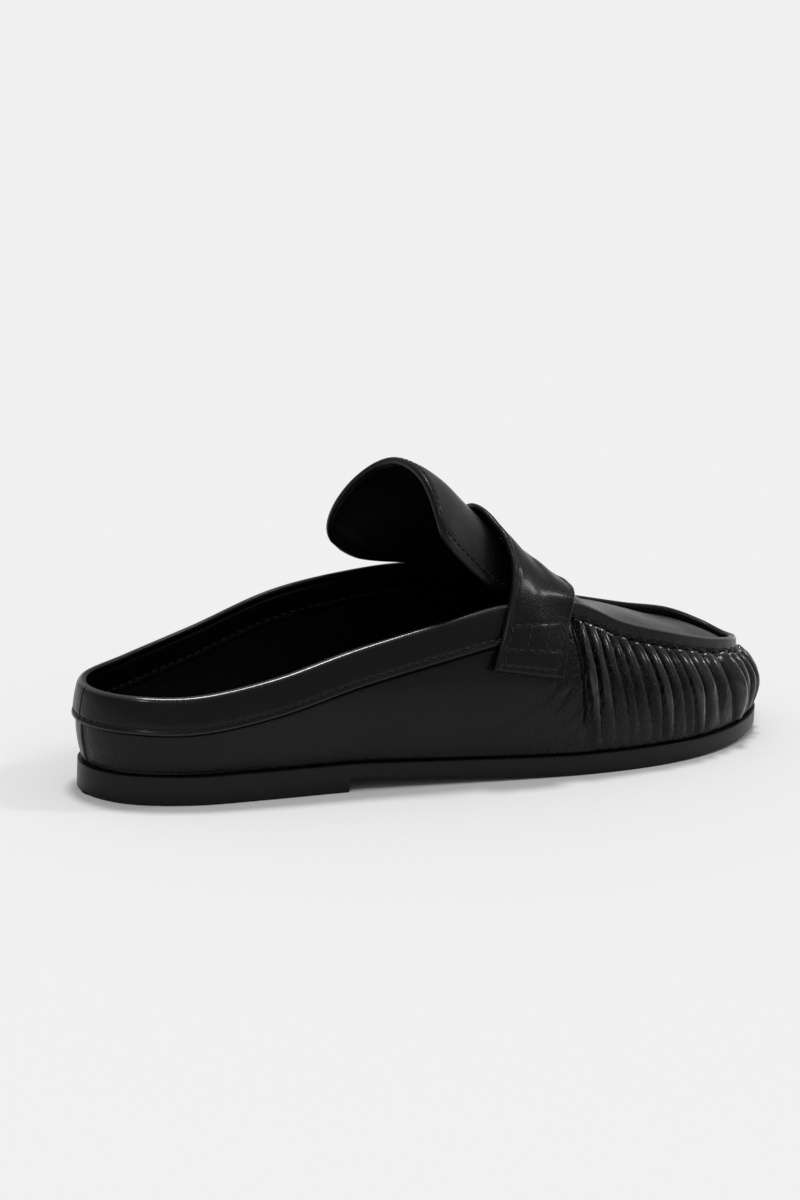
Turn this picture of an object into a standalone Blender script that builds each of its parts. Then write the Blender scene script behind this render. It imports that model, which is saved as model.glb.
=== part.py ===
"""Loafer mule: a right shoe with an open-heel collar, a gathered moccasin toe,
a standing rim round the plug, a tall tongue and a saddle strap.

Metres. +X runs to the toe, +Y to the medial side, +Z up. The origin is the
middle of the heel's print on the floor, and the shoe stands on z = 0.
"""
import math
from collections import namedtuple

import bmesh
import bpy
import numpy as np

# Overall sizes
LENGTH = 0.262           # outsole, back of the heel to the tip of the toe
HEEL_WIDTH = 0.0604      # outsole across the heel
WAIST_WIDTH = 0.0703     # outsole across the waist
BALL_WIDTH = 0.0933      # outsole across the ball
HEEL_CENTRE = 0.036      # from the back of the outsole to the origin

# Heights above the floor
COLLAR_HEIGHT = 0.0354   # top line at the back of the heel
INSTEP_HEIGHT = 0.0600   # top line where it runs under the strap
TOE_HEIGHT = 0.0318      # top of the rim at the tip of the toe
ARCH_RISE = 0.0265       # crown of the instep above the top line, at the throat

# Sole
SOLE_THICKNESS = 0.0070  # outsole under the ball
HEEL_LIFT = 0.0039       # heel block below the outsole
BREAST = 0.0800          # from the back of the outsole to the breast of the heel
HEEL_TAPER = 0.0006      # how far the heel block draws in at the floor
TOE_SPRING = 0.0029      # underside of the outsole above the floor at the tip
SOLE_EDGE = 0.0005       # rounding of the outsole's edges
WELT_STEP = 0.0015       # sole edge beyond the foot of the upper
INSOLE_THICKNESS = 0.0030

# Upper
WALL = 0.0020            # leather and lining
BAND_HEIGHT = 0.0115     # collar band
BAND_PROUD = 0.0009      # collar band beyond the quarter
RIM_HEIGHT = 0.0060      # standing rim above its scalloped seam
RIM_THICKNESS = 0.0029   # across the standing rim and the folded collar
RIM_ROUND = 0.0007       # rounding of the rim's top
PLUG_DROP = 0.0035       # plug below the top of the rim, at the toe
PLUG_THICKNESS = 0.0020
PLUG_REACH = 0.0012      # how far the plug's edge runs into the rim
TOP_LEAN = 0.0140        # top line inside the sole's outline, at the ball
SIDE_BULGE = 0.0030      # fullness of the quarter between foot and top line
PLEATS = 26              # gathers from one end of the strap round to the other
PLEAT_DEPTH = 0.0013     # ridge above the wall, and valley below it
SEAM_GROOVE = 0.0008     # depth of the scalloped seam

# Tongue and strap
TONGUE_THICKNESS = 0.0026
STRAP_THICKNESS = 0.0022
STRAP_EASE = 0.0002      # room between the strap and what it lies on
STRAP_END_BACK = 0.0385  # height of the strap's end at its back corner
STRAP_END_FRONT = 0.0340
GAP = 0.0003             # between neighbouring pieces

# Shares that set where things begin
PLEAT_START = 0.640      # share of LENGTH where the gathers begin
VAMP_START = 0.545       # shares of LENGTH between which, under the strap, the
VAMP_END = 0.605         # collar's band turns into the vamp's rim
TONGUE_CORNER = 0.60     # share of the tongue's length where its corners begin
CORNER_POWER = 2.4       # how square the tongue's corners are
ARCH_POWER = 2.3         # how square the arch over the instep is
STRAP_SHOULDER = 0.62    # share of the strap's half length that lies on the instep

# Steps of the meshes
QUARTER_COLUMNS = 46
COLUMNS_PER_PLEAT = 4
PLUG_ROWS, PLUG_COLUMNS = 18, 11
TONGUE_GRID = (14, 16)
STRAP_GRID = (5, 34)
SOLE_SLICES = 44
HEEL_SLICES = 18

Section = namedtuple("Section", "x width lateral medial low rise_lat rise_med lean bulge curl crown drop")
# A row for each section from the back of the heel to the tip of the toe.
# x is a share of LENGTH; lateral and medial are shares of the width named in
# the row. rise is how far the top line has come from the low height named in
# the row to INSTEP_HEIGHT. lean, bulge, crown and drop are shares of TOP_LEAN,
# SIDE_BULGE, ARCH_RISE and PLUG_DROP, and curl is how late the wall turns in.
SECTIONS = (
    Section(0.000, HEEL_WIDTH, 0.000, 0.000, COLLAR_HEIGHT, 0.00, 0.00, 0.05, 0.45, 2.0, 0.00, 0.0),
    Section(0.026, HEEL_WIDTH, 0.276, 0.276, COLLAR_HEIGHT, 0.00, 0.02, 0.05, 0.45, 2.0, 0.00, 0.0),
    Section(0.100, HEEL_WIDTH, 0.446, 0.446, COLLAR_HEIGHT, 0.01, 0.11, 0.10, 0.65, 2.0, 0.00, 0.0),
    Section(0.200, HEEL_WIDTH, 0.505, 0.495, COLLAR_HEIGHT, 0.18, 0.39, 0.10, 0.85, 2.0, 0.00, 0.0),
    Section(0.310, WAIST_WIDTH, 0.469, 0.432, COLLAR_HEIGHT, 0.48, 0.80, 0.20, 0.90, 2.0, 0.20, 0.0),
    Section(0.420, WAIST_WIDTH, 0.531, 0.469, COLLAR_HEIGHT, 0.74, 0.98, 0.38, 0.90, 2.0, 0.80, 0.0),
    Section(0.520, BALL_WIDTH, 0.447, 0.408, COLLAR_HEIGHT, 0.93, 1.00, 0.65, 0.80, 2.5, 1.00, 0.1),
    Section(0.620, BALL_WIDTH, 0.484, 0.472, TOE_HEIGHT, 0.90, 0.81, 0.92, 0.60, 3.0, 0.27, 0.2),
    Section(0.710, BALL_WIDTH, 0.493, 0.507, TOE_HEIGHT, 0.59, 0.52, 1.00, 0.40, 3.5, 0.14, 0.4),
    Section(0.800, BALL_WIDTH, 0.463, 0.487, TOE_HEIGHT, 0.38, 0.37, 0.90, 0.20, 4.0, 0.15, 0.7),
    Section(0.882, BALL_WIDTH, 0.384, 0.423, TOE_HEIGHT, 0.21, 0.25, 0.79, 0.12, 4.0, 0.11, 0.9),
    Section(0.947, BALL_WIDTH, 0.265, 0.315, TOE_HEIGHT, 0.10, 0.19, 0.64, 0.10, 4.0, 0.06, 1.0),
    Section(0.988, BALL_WIDTH, 0.122, 0.177, TOE_HEIGHT, 0.03, 0.07, 0.57, 0.10, 4.0, 0.02, 1.0),
    Section(1.000, BALL_WIDTH, -0.030, 0.030, TOE_HEIGHT, 0.00, 0.00, 0.55, 0.10, 4.0, 0.00, 1.0),
)
LAST = len(SECTIONS) - 1
TURN = 2 * LAST          # stations once round the shoe, lateral side first

SoleRow = namedtuple("SoleRow", "x lift spring thick")
# Underside and thickness of the outsole along the shoe, as shares of LENGTH,
# HEEL_LIFT, TOE_SPRING and SOLE_THICKNESS.
SOLE_ROWS = (
    SoleRow(0.000, 1.00, 0.00, 0.81),
    SoleRow(0.310, 1.00, 0.00, 0.80),
    SoleRow(0.370, 0.82, 0.00, 0.83),
    SoleRow(0.440, 0.60, 0.00, 0.87),
    SoleRow(0.505, 0.35, 0.00, 0.93),
    SoleRow(0.572, 0.13, 0.00, 0.97),
    SoleRow(0.625, 0.00, 0.00, 1.00),
    SoleRow(0.735, 0.00, 0.00, 1.00),
    SoleRow(0.790, 0.00, 0.10, 0.95),
    SoleRow(0.860, 0.00, 0.34, 0.88),
    SoleRow(0.935, 0.00, 0.66, 0.86),
    SoleRow(1.000, 0.00, 1.00, 0.86),
)

TongueRow = namedtuple("TongueRow", "along crown_x crown_z lat_x lat_z med_x med_z half")
# Cross-sections of the tongue from the throat to just past its tip. The crown
# and the two edges are shares of LENGTH from the back and of INSTEP_HEIGHT, and
# the half width is a share of HEEL_WIDTH.
TONGUE_ROWS = (
    TongueRow(0.000, 0.598, 1.125, 0.598, 0.945, 0.598, 0.945, 0.430),
    TongueRow(0.227, 0.560, 1.318, 0.545, 0.985, 0.529, 1.015, 0.440),
    TongueRow(0.482, 0.520, 1.468, 0.476, 1.188, 0.447, 1.050, 0.485),
    TongueRow(0.733, 0.480, 1.618, 0.433, 1.360, 0.389, 1.205, 0.525),
    TongueRow(0.938, 0.445, 1.706, 0.410, 1.490, 0.358, 1.370, 0.495),
    TongueRow(1.064, 0.420, 1.730, 0.396, 1.550, 0.346, 1.450, 0.455),
)

StrapRow = namedtuple("StrapRow", "across back front")
# Edges of the strap from the ridge of the instep (0) to its end on a side wall
# (1), as shares of LENGTH.
STRAP_ROWS = (
    StrapRow(0.00, 0.541, 0.652),
    StrapRow(0.25, 0.548, 0.648),
    StrapRow(0.45, 0.545, 0.641),
    StrapRow(0.62, 0.524, 0.624),
    StrapRow(0.80, 0.503, 0.603),
    StrapRow(1.00, 0.486, 0.583),
)


def read(rows, column, x):
    """Value of a table's column at x, on a smooth curve with no overshoot."""
    xs = np.array([row[0] for row in rows])
    ys = np.array([getattr(row, column) for row in rows])
    steps = np.diff(xs)
    slopes = np.diff(ys) / steps
    left, right = slopes[:-1], slopes[1:]
    total = np.where(left + right == 0, 1, left + right)
    inner = np.where(left * right > 0, 2 * left * right / total, 0)
    ends = np.concatenate([[slopes[0]], inner, [slopes[-1]]])
    x = np.clip(x, xs[0], xs[-1])
    i = np.clip(np.searchsorted(xs, x, side="right") - 1, 0, len(steps) - 1)
    f = (x - xs[i]) / steps[i]
    return ((2 * f**3 - 3 * f**2 + 1) * ys[i] + (f**3 - 2 * f**2 + f) * steps[i] * ends[i]
            + (3 * f**2 - 2 * f**3) * ys[i + 1] + (f**3 - f**2) * steps[i] * ends[i + 1])


def smooth_step(low, high, value):
    """0 below low, 1 above high and a smooth rise between them."""
    f = np.clip((value - low) / (high - low), 0, 1)
    return f * f * (3 - 2 * f)


def closed_rows():
    """The sections as rows once round the shoe, lateral side first."""
    rows = []
    for i in range(TURN):
        lateral = i <= LAST
        s = SECTIONS[i if lateral else TURN - i]
        y = -s.lateral * s.width if lateral else s.medial * s.width
        rise = s.rise_lat if lateral else s.rise_med
        top = s.low + (INSTEP_HEIGHT - s.low) * rise
        rows.append((s.x * LENGTH, y, top, s.lean * TOP_LEAN, s.bulge * SIDE_BULGE, s.curl,
                     s.crown * ARCH_RISE, s.drop * PLUG_DROP))
    return np.array(rows)


ROUND = closed_rows()


def station(u):
    """x, y, top, lean, bulge, curl, crown and drop at u, on a smooth closed curve."""
    u = np.atleast_1d(np.asarray(u, float)) % TURN
    i = np.floor(u).astype(int)
    f = (u - i)[:, None]
    p0, p1, p2, p3 = (ROUND[(i + k) % TURN] for k in (-1, 0, 1, 2))
    return 0.5 * (2 * p1 + (p2 - p0) * f + (2 * p0 - 5 * p1 + 4 * p2 - p3) * f**2
                  + (3 * p1 - p0 - 3 * p2 + p3) * f**3)


def outward(u, step=0.02):
    """Unit normal of the sole's outline in plan, pointing out of the shoe."""
    d = station(np.asarray(u) + step)[:, :2] - station(np.asarray(u) - step)[:, :2]
    d /= np.linalg.norm(d, axis=1)[:, None]
    return np.stack([d[:, 1], -d[:, 0]], axis=1)


def lateral_station(x):
    """Station on the lateral side at distance x from the back."""
    w = np.linspace(0.5, LAST - 0.5, 400)
    return np.interp(x, station(w)[:, 0], w)


def underside(x):
    """Height of the outsole's underside."""
    share = x / LENGTH
    return HEEL_LIFT * read(SOLE_ROWS, "lift", share) + TOE_SPRING * read(SOLE_ROWS, "spring", share)


def sole_top(x):
    """Height of the outsole's upper face."""
    return underside(x) + SOLE_THICKNESS * read(SOLE_ROWS, "thick", x / LENGTH)


def vamp(x):
    """0 on the quarters, 1 where the gathered vamp and its rim are."""
    return smooth_step(VAMP_START, VAMP_END, x / LENGTH)


def place(x, y, z):
    """Points in the shoe's frame from distances measured from the back."""
    return np.stack(np.broadcast_arrays(x - HEEL_CENTRE, y, z), axis=-1)


def wall_height(u):
    """Height of the upper's wall from its foot to its top line."""
    s = station(u)
    return s[:, 2] - sole_top(s[:, 0]) - GAP


def wall(u, t, proud=0.0):
    """Points on the outside of the upper at share t of its height."""
    s = station(u)
    x, y, _, lean, bulge, curl = s[:, :6].T
    tall = wall_height(u)
    fore = vamp(x)
    seam = 1 - fore * RIM_HEIGHT / tall
    tau = np.clip(t / seam, 0, 1)
    out = proud - WELT_STEP * (1 - tau)**2 - lean * tau**curl + bulge * 4 * tau * (1 - tau)
    n = outward(u)
    return place(x + n[:, 0] * out, y + n[:, 1] * out, sole_top(x) + GAP + tall * t)


def step_share(u):
    """Share of the height at the band's lower edge, or at the scalloped seam."""
    fore = vamp(station(u)[:, 0])
    return 1 - (BAND_HEIGHT + (RIM_HEIGHT - BAND_HEIGHT) * fore) / wall_height(u)


def pleat_start():
    """Station where the gathers begin on the lateral side."""
    return float(np.interp(PLEAT_START, [s.x for s in SECTIONS], range(LAST + 1)))


def pleat_wave(u):
    """Height of the gathers from -1 to 1, and 0 on the quarters."""
    start = pleat_start()
    f = (u - start) / (TURN - 2 * start)
    fade = smooth_step(0, 0.04, np.minimum(f, 1 - f))
    return -np.cos(2 * math.pi * PLEATS * f) * fade


def columns():
    """Stations round the shoe: wide steps on the quarters, some to each gather."""
    start = pleat_start()
    back = np.linspace(-start, start, QUARTER_COLUMNS, endpoint=False)
    count = PLEATS * COLUMNS_PER_PLEAT
    return np.concatenate([back, start + (TURN - 2 * start) * np.arange(count) / count])


def wall_rows(u):
    """Rows of the upper's wall: up the outside, over the top and down inside."""
    step = step_share(u)
    fore = vamp(station(u)[:, 0])
    tall = wall_height(u)
    wave = pleat_wave(u) * PLEAT_DEPTH
    proud = BAND_PROUD * (1 - fore)
    hair = 0.1 * BAND_PROUD / tall
    rows = []
    for share, depth in ((0.0, 0.2), (0.2, 0.6), (0.42, 0.9), (0.64, 1.0), (0.84, 1.0)):
        rows.append(wall(u, share * step, wave * depth))
    rows.append(wall(u, step - hair, -SEAM_GROOVE * fore))
    rows.append(wall(u, step + hair, proud))
    rows.append(wall(u, (1 + step) / 2, proud))
    rows.append(wall(u, 1 - RIM_ROUND / tall, proud))
    rows.append(wall(u, 1, proud - RIM_ROUND))
    rows.append(wall(u, 1, proud - RIM_THICKNESS + RIM_ROUND))
    rows.append(wall(u, 1 - RIM_ROUND / tall, proud - RIM_THICKNESS))
    plug_foot = 1 - (station(u)[:, 7] + 1.3 * PLUG_THICKNESS) / tall
    rows.append(wall(u, step + (plug_foot - step) * fore, -WALL - (RIM_THICKNESS - WALL) * fore))
    for share in (0.84, 0.56, 0.28, 0.0):
        t = share * step
        rise = wall(u, t + 0.01) - wall(u, t - 0.01)
        outwards = np.einsum("ij,ij->i", rise[:, :2], outward(u))
        slant = np.hypot(outwards, rise[:, 2])
        point = wall(u, t, -WALL * rise[:, 2] / slant - 0.5 * PLEAT_DEPTH * fore * min(share, 0.5))
        if share:
            point[:, 2] += WALL * outwards / slant
        rows.append(point)
    return rows


def plug_edges(w):
    """Where the plug meets the rim, on the lateral and the medial side."""
    ends = []
    for u in (w, TURN - w):
        level = 1 - station(u)[:, 7] / wall_height(u)
        ends.append(wall(u, level, PLUG_REACH - RIM_THICKNESS))
    return ends


def plug_points(w, across, level=0.0):
    """The plug's surface, from the lateral rim (-1) to the medial rim (1)."""
    near, far = plug_edges(w)
    line = near + (far - near) * (across[:, None] + 1) / 2
    line[:, 2] += station(w)[:, 6] * (1 - np.abs(across)**ARCH_POWER) + level
    return line


def tongue_points(along, across):
    """The tongue's outer surface; along runs from the throat to the tip."""
    round_end = (1 - np.abs(across)**CORNER_POWER)**(1 / CORNER_POWER)
    a = along * (TONGUE_CORNER + (1 - TONGUE_CORNER) * round_end)
    bend = np.abs(across)**ARCH_POWER
    row = {name: read(TONGUE_ROWS, name, a) for name in TongueRow._fields[1:]}
    edge_x = np.where(across < 0, row["lat_x"], row["med_x"])
    edge_z = np.where(across < 0, row["lat_z"], row["med_z"])
    return place(LENGTH * (row["crown_x"] + (edge_x - row["crown_x"]) * bend),
                 HEEL_WIDTH * row["half"] * across,
                 INSTEP_HEIGHT * (row["crown_z"] + (edge_z - row["crown_z"]) * bend))


def crown_height(x):
    """Height of the instep's ridge, over the tongue and then over the plug."""
    rows = TONGUE_ROWS[::-1]
    over_tongue = np.interp(x, [r.crown_x * LENGTH for r in rows], [r.crown_z * INSTEP_HEIGHT for r in rows])
    w = np.linspace(lateral_station(VAMP_START * LENGTH), LAST - 1, 200)
    middle = sum(plug_edges(w)) / 2
    over_plug = np.interp(x - HEEL_CENTRE, middle[:, 0], middle[:, 2] + station(w)[:, 6])
    return np.where(x < TONGUE_ROWS[0].crown_x * LENGTH, over_tongue, over_plug)


def strap_bed(along, across):
    """What the strap lies on; along runs from its back edge to its front edge."""
    side = np.abs(across)
    back, front = (LENGTH * read(STRAP_ROWS, name, side) for name in ("back", "front"))
    x = back + (front - back) * along
    w = lateral_station(x)
    u = np.where(across < 0, w, TURN - w)
    top = station(u)[:, 2]
    end = STRAP_END_BACK + (STRAP_END_FRONT - STRAP_END_BACK) * along
    drop = np.clip((side - STRAP_SHOULDER) / (1 - STRAP_SHOULDER), 0, 1)
    share = 1 - (top - end) * drop / wall_height(u)
    shift = wall(u, share)[:, 0] - place(x, 0, 0)[:, 0]
    w = lateral_station(x - shift)
    points = wall(np.where(across < 0, w, TURN - w), share, BAND_PROUD)
    bend = np.clip(side / STRAP_SHOULDER, 0, 1)
    points[:, 0] = x - HEEL_CENTRE
    points[:, 1] *= bend
    points[:, 2] += (crown_height(x) - top) * (1 - bend**ARCH_POWER)
    return points


def material(name, colour, roughness):
    """A plain finish for one sub-part."""
    mat = bpy.data.materials.new(name)
    mat.use_nodes = True
    shader = mat.node_tree.nodes["Principled BSDF"]
    shader.inputs["Base Color"].default_value = (*colour, 1.0)
    shader.inputs["Roughness"].default_value = roughness
    shader.inputs["Metallic"].default_value = 0.0
    return mat


def loft(rings, ends):
    """A skin over closed rings of points; ends is True where both ends are capped."""
    bm = bmesh.new()
    rings = [[bm.verts.new(point) for point in ring] for ring in rings]
    for a, b in zip(rings, rings[1:] if ends else rings[1:] + rings[:1]):
        for j in range(len(a)):
            k = (j + 1) % len(a)
            bm.faces.new((a[j], a[k], b[k], b[j]))
    if ends:
        bm.faces.new(rings[0])
        bm.faces.new(rings[-1])
    return bm


def sheet(surface, steps):
    """An open sheet on surface(along, across), with its faces turned upwards."""
    bm = bmesh.new()
    bmesh.ops.create_grid(bm, x_segments=steps[0], y_segments=steps[1], size=1.0)
    grid = np.array([v.co for v in bm.verts])
    for v, point in zip(bm.verts, surface((grid[:, 0] + 1) / 2, grid[:, 1])):
        v.co = point
    bm.normal_update()
    if sum(f.normal.z for f in bm.faces) < 0:
        bmesh.ops.reverse_faces(bm, faces=bm.faces)
    return bm


def add(name, bm, collection, mat, solid=True):
    """A bmesh as a named object, its faces pointing out where it is a solid."""
    if solid:
        bmesh.ops.recalc_face_normals(bm, faces=bm.faces)
    mesh = bpy.data.meshes.new(name)
    bm.to_mesh(mesh)
    bm.free()
    mesh.shade_smooth()
    mesh.set_sharp_from_angle(angle=math.radians(40))
    mesh.materials.append(mat)
    body = bpy.data.objects.new(name, mesh)
    collection.objects.link(body)
    return body


def thicken(body, thickness, offset):
    """Give an open sheet its thickness, outwards (1) or inwards (-1)."""
    shell = body.modifiers.new("thickness", "SOLIDIFY")
    shell.thickness = thickness
    shell.offset = offset
    shell.use_even_offset = True


def slices(corners, w_end, count, gap_back=0.02):
    """Rings across the shoe; corners are (inset, height) pairs up one side."""
    rings = []
    for k in range(count + 1):
        w = gap_back + (w_end - gap_back) * (1 - math.cos(math.pi * k / count)) / 2
        sides = []
        for u in (w, TURN - w):
            s, n = station(u)[0], outward(u)[0]
            sides.append([place(s[0] - n[0] * inset, s[1] - n[1] * inset, height(s[0]))
                          for inset, height in corners])
        rings.append(sides[0] + sides[1][::-1])
    return rings


def make_outsole(collection):
    """Outsole of one thickness, with a shank rise, a flat tread and toe spring."""
    corners = ((SOLE_EDGE, underside), (0.0, lambda x: underside(x) + SOLE_EDGE),
               (0.0, lambda x: sole_top(x) - SOLE_EDGE), (SOLE_EDGE, sole_top))
    bm = loft(slices(corners, LAST - 0.02, SOLE_SLICES), ends=True)
    return add("outsole", bm, collection, material("sole_rubber", (0.012, 0.012, 0.012), 0.5))


def make_heel(collection):
    """Low heel block under the outsole, with a straight breast."""
    w_end = float(lateral_station(BREAST))
    corners = ((HEEL_TAPER, lambda x: 0.0), (0.0, lambda x: HEEL_LIFT - GAP))
    bm = loft(slices(corners, w_end, HEEL_SLICES), ends=True)
    return add("heel", bm, collection, material("heel_rubber", (0.012, 0.012, 0.012), 0.5))


def make_insole(collection):
    """Insole board and sock on the outsole, inside the foot of the upper."""
    inset = WELT_STEP + WALL + GAP
    corners = ((inset + GAP, lambda x: sole_top(x) + GAP),
               (inset + GAP, lambda x: sole_top(x) + GAP + INSOLE_THICKNESS))
    bm = loft(slices(corners, LAST - 0.05, SOLE_SLICES, gap_back=0.05), ends=True)
    return add("insole", bm, collection, material("lining_leather", (0.02, 0.018, 0.017), 0.6))


def make_upper(collection, cutters):
    """Quarters, collar band and gathered vamp in one hollow wall, with the plug."""
    leather = material("upper_leather", (0.016, 0.016, 0.016), 0.38)
    upper = add("upper", loft(wall_rows(columns()), ends=False), collection, leather)
    across = np.linspace(-1, 1, PLUG_COLUMNS)
    throat = float(lateral_station(TONGUE_ROWS[0].crown_x * LENGTH + GAP))
    rings = []
    for w in throat + (LAST - 0.25 - throat) * np.linspace(0, 1, PLUG_ROWS):
        top = plug_points(w, across)
        rings.append(np.concatenate([top, plug_points(w, across[::-1], -PLUG_THICKNESS)]))
    plug = add("plug", loft(rings, ends=True), cutters, leather)
    plug.hide_render = True
    plug.display_type = "WIRE"
    join = upper.modifiers.new("plug", "BOOLEAN")
    join.operation = "UNION"
    join.object = plug
    return upper


def make_tongue(collection):
    """Tall arched tongue that starts under the strap at the plug's throat."""
    body = add("tongue", sheet(tongue_points, TONGUE_GRID), collection,
               material("tongue_leather", (0.016, 0.016, 0.016), 0.36), solid=False)
    thicken(body, TONGUE_THICKNESS, -1.0)
    return body


def make_strap(collection):
    """Saddle strap over the instep, its ends lying on the side walls."""
    def surface(along, across):
        step = 0.01
        points = strap_bed(along, across)
        run = strap_bed(np.minimum(along + step, 1), across) - strap_bed(np.maximum(along - step, 0), across)
        turn = strap_bed(along, np.minimum(across + step, 1)) - strap_bed(along, np.maximum(across - step, -1))
        normal = np.cross(run, turn)
        normal /= np.linalg.norm(normal, axis=1)[:, None]
        return points + normal * (GAP + STRAP_EASE)
    body = add("strap", sheet(surface, STRAP_GRID), collection,
               material("strap_leather", (0.016, 0.016, 0.016), 0.36), solid=False)
    thicken(body, STRAP_THICKNESS, 1.0)
    return body


def main():
    for body in list(bpy.data.objects):
        bpy.data.objects.remove(body, do_unlink=True)
    parts = bpy.data.collections.new("loafer_mule")
    cutters = bpy.data.collections.new("cutters")
    for collection in (parts, cutters):
        bpy.context.scene.collection.children.link(collection)
    make_outsole(parts)
    make_heel(parts)
    make_insole(parts)
    make_upper(parts, cutters)
    make_tongue(parts)
    make_strap(parts)


main()
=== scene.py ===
"""Looks of the loafer mule: black leather upper with a gathered toe, a standing
rim, a tall tongue and a saddle strap, on a low rubber sole.

Every piece is shaped from the shoe's own last, which holds the same sizes and
tables as the solid part. Metres; +X to the toe, +Y to the medial side, +Z up.
"""
from __future__ import annotations

import logging
import math
from dataclasses import dataclass, field
from enum import Enum
from typing import Callable, NamedTuple, Sequence, Union

import bmesh
import bpy
import numpy as np
from mathutils import Matrix, Vector

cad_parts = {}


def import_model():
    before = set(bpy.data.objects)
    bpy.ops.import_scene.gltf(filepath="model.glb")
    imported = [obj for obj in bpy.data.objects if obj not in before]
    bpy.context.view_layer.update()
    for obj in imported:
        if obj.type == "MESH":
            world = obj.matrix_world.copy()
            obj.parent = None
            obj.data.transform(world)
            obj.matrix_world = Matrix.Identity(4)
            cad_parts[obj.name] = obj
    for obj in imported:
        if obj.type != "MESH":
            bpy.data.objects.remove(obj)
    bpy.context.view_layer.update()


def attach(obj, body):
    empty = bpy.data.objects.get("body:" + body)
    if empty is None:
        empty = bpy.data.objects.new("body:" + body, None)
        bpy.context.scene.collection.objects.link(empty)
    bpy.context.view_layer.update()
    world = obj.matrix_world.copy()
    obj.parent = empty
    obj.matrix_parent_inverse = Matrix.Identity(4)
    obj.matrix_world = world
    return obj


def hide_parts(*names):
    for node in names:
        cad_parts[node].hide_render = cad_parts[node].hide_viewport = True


LOG = logging.getLogger("loafer_mule")
MM = 0.001
Array = np.ndarray
Surface = Callable[[Array, Array], Array]
Relief = Callable[[Array, Array], Array]

LENGTH = 0.262
HEEL_CENTRE = 0.036
HEEL_WIDTH = 0.0604
WAIST_WIDTH = 0.0703
BALL_WIDTH = 0.0933
COLLAR_HEIGHT = 0.0354
TOE_HEIGHT = 0.0318


class Section(NamedTuple):
    """One section of the last, from the back of the heel to the tip of the toe."""

    x: float
    width: float
    lateral: float
    medial: float
    low: float
    rise_lat: float
    rise_med: float
    lean: float
    bulge: float
    curl: float
    crown: float
    drop: float


class SoleRow(NamedTuple):
    """Underside and thickness of the outsole at one share of the length."""

    x: float
    lift: float
    spring: float
    thick: float


class TongueRow(NamedTuple):
    """One cross-section of the tongue, from the throat to just past its tip."""

    along: float
    crown_x: float
    crown_z: float
    lat_x: float
    lat_z: float
    med_x: float
    med_z: float
    half: float


class StrapRow(NamedTuple):
    """Edges of the strap from the ridge of the instep to its end."""

    across: float
    back: float
    front: float


SECTIONS = (
    Section(0.000, HEEL_WIDTH, 0.000, 0.000, COLLAR_HEIGHT, 0.00, 0.00, 0.05, 0.45, 2.0, 0.00, 0.0),
    Section(0.026, HEEL_WIDTH, 0.276, 0.276, COLLAR_HEIGHT, 0.00, 0.02, 0.05, 0.45, 2.0, 0.00, 0.0),
    Section(0.100, HEEL_WIDTH, 0.446, 0.446, COLLAR_HEIGHT, 0.01, 0.11, 0.10, 0.65, 2.0, 0.00, 0.0),
    Section(0.200, HEEL_WIDTH, 0.505, 0.495, COLLAR_HEIGHT, 0.18, 0.39, 0.10, 0.85, 2.0, 0.00, 0.0),
    Section(0.310, WAIST_WIDTH, 0.469, 0.432, COLLAR_HEIGHT, 0.48, 0.80, 0.20, 0.90, 2.0, 0.20, 0.0),
    Section(0.420, WAIST_WIDTH, 0.531, 0.469, COLLAR_HEIGHT, 0.74, 0.98, 0.38, 0.90, 2.0, 0.80, 0.0),
    Section(0.520, BALL_WIDTH, 0.447, 0.408, COLLAR_HEIGHT, 0.93, 1.00, 0.65, 0.80, 2.5, 1.00, 0.1),
    Section(0.620, BALL_WIDTH, 0.484, 0.472, TOE_HEIGHT, 0.90, 0.81, 0.92, 0.60, 3.0, 0.27, 0.2),
    Section(0.710, BALL_WIDTH, 0.493, 0.507, TOE_HEIGHT, 0.59, 0.52, 1.00, 0.40, 3.5, 0.14, 0.4),
    Section(0.800, BALL_WIDTH, 0.463, 0.487, TOE_HEIGHT, 0.38, 0.37, 0.90, 0.20, 4.0, 0.15, 0.7),
    Section(0.882, BALL_WIDTH, 0.384, 0.423, TOE_HEIGHT, 0.21, 0.25, 0.79, 0.12, 4.0, 0.11, 0.9),
    Section(0.947, BALL_WIDTH, 0.265, 0.315, TOE_HEIGHT, 0.10, 0.19, 0.64, 0.10, 4.0, 0.06, 1.0),
    Section(0.988, BALL_WIDTH, 0.122, 0.177, TOE_HEIGHT, 0.03, 0.07, 0.57, 0.10, 4.0, 0.02, 1.0),
    Section(1.000, BALL_WIDTH, -0.030, 0.030, TOE_HEIGHT, 0.00, 0.00, 0.55, 0.10, 4.0, 0.00, 1.0),
)

SOLE_ROWS = (
    SoleRow(0.000, 1.00, 0.00, 0.81),
    SoleRow(0.310, 1.00, 0.00, 0.80),
    SoleRow(0.370, 0.82, 0.00, 0.83),
    SoleRow(0.440, 0.60, 0.00, 0.87),
    SoleRow(0.505, 0.35, 0.00, 0.93),
    SoleRow(0.572, 0.13, 0.00, 0.97),
    SoleRow(0.625, 0.00, 0.00, 1.00),
    SoleRow(0.735, 0.00, 0.00, 1.00),
    SoleRow(0.790, 0.00, 0.10, 0.95),
    SoleRow(0.860, 0.00, 0.34, 0.88),
    SoleRow(0.935, 0.00, 0.66, 0.86),
    SoleRow(1.000, 0.00, 1.00, 0.86),
)

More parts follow.
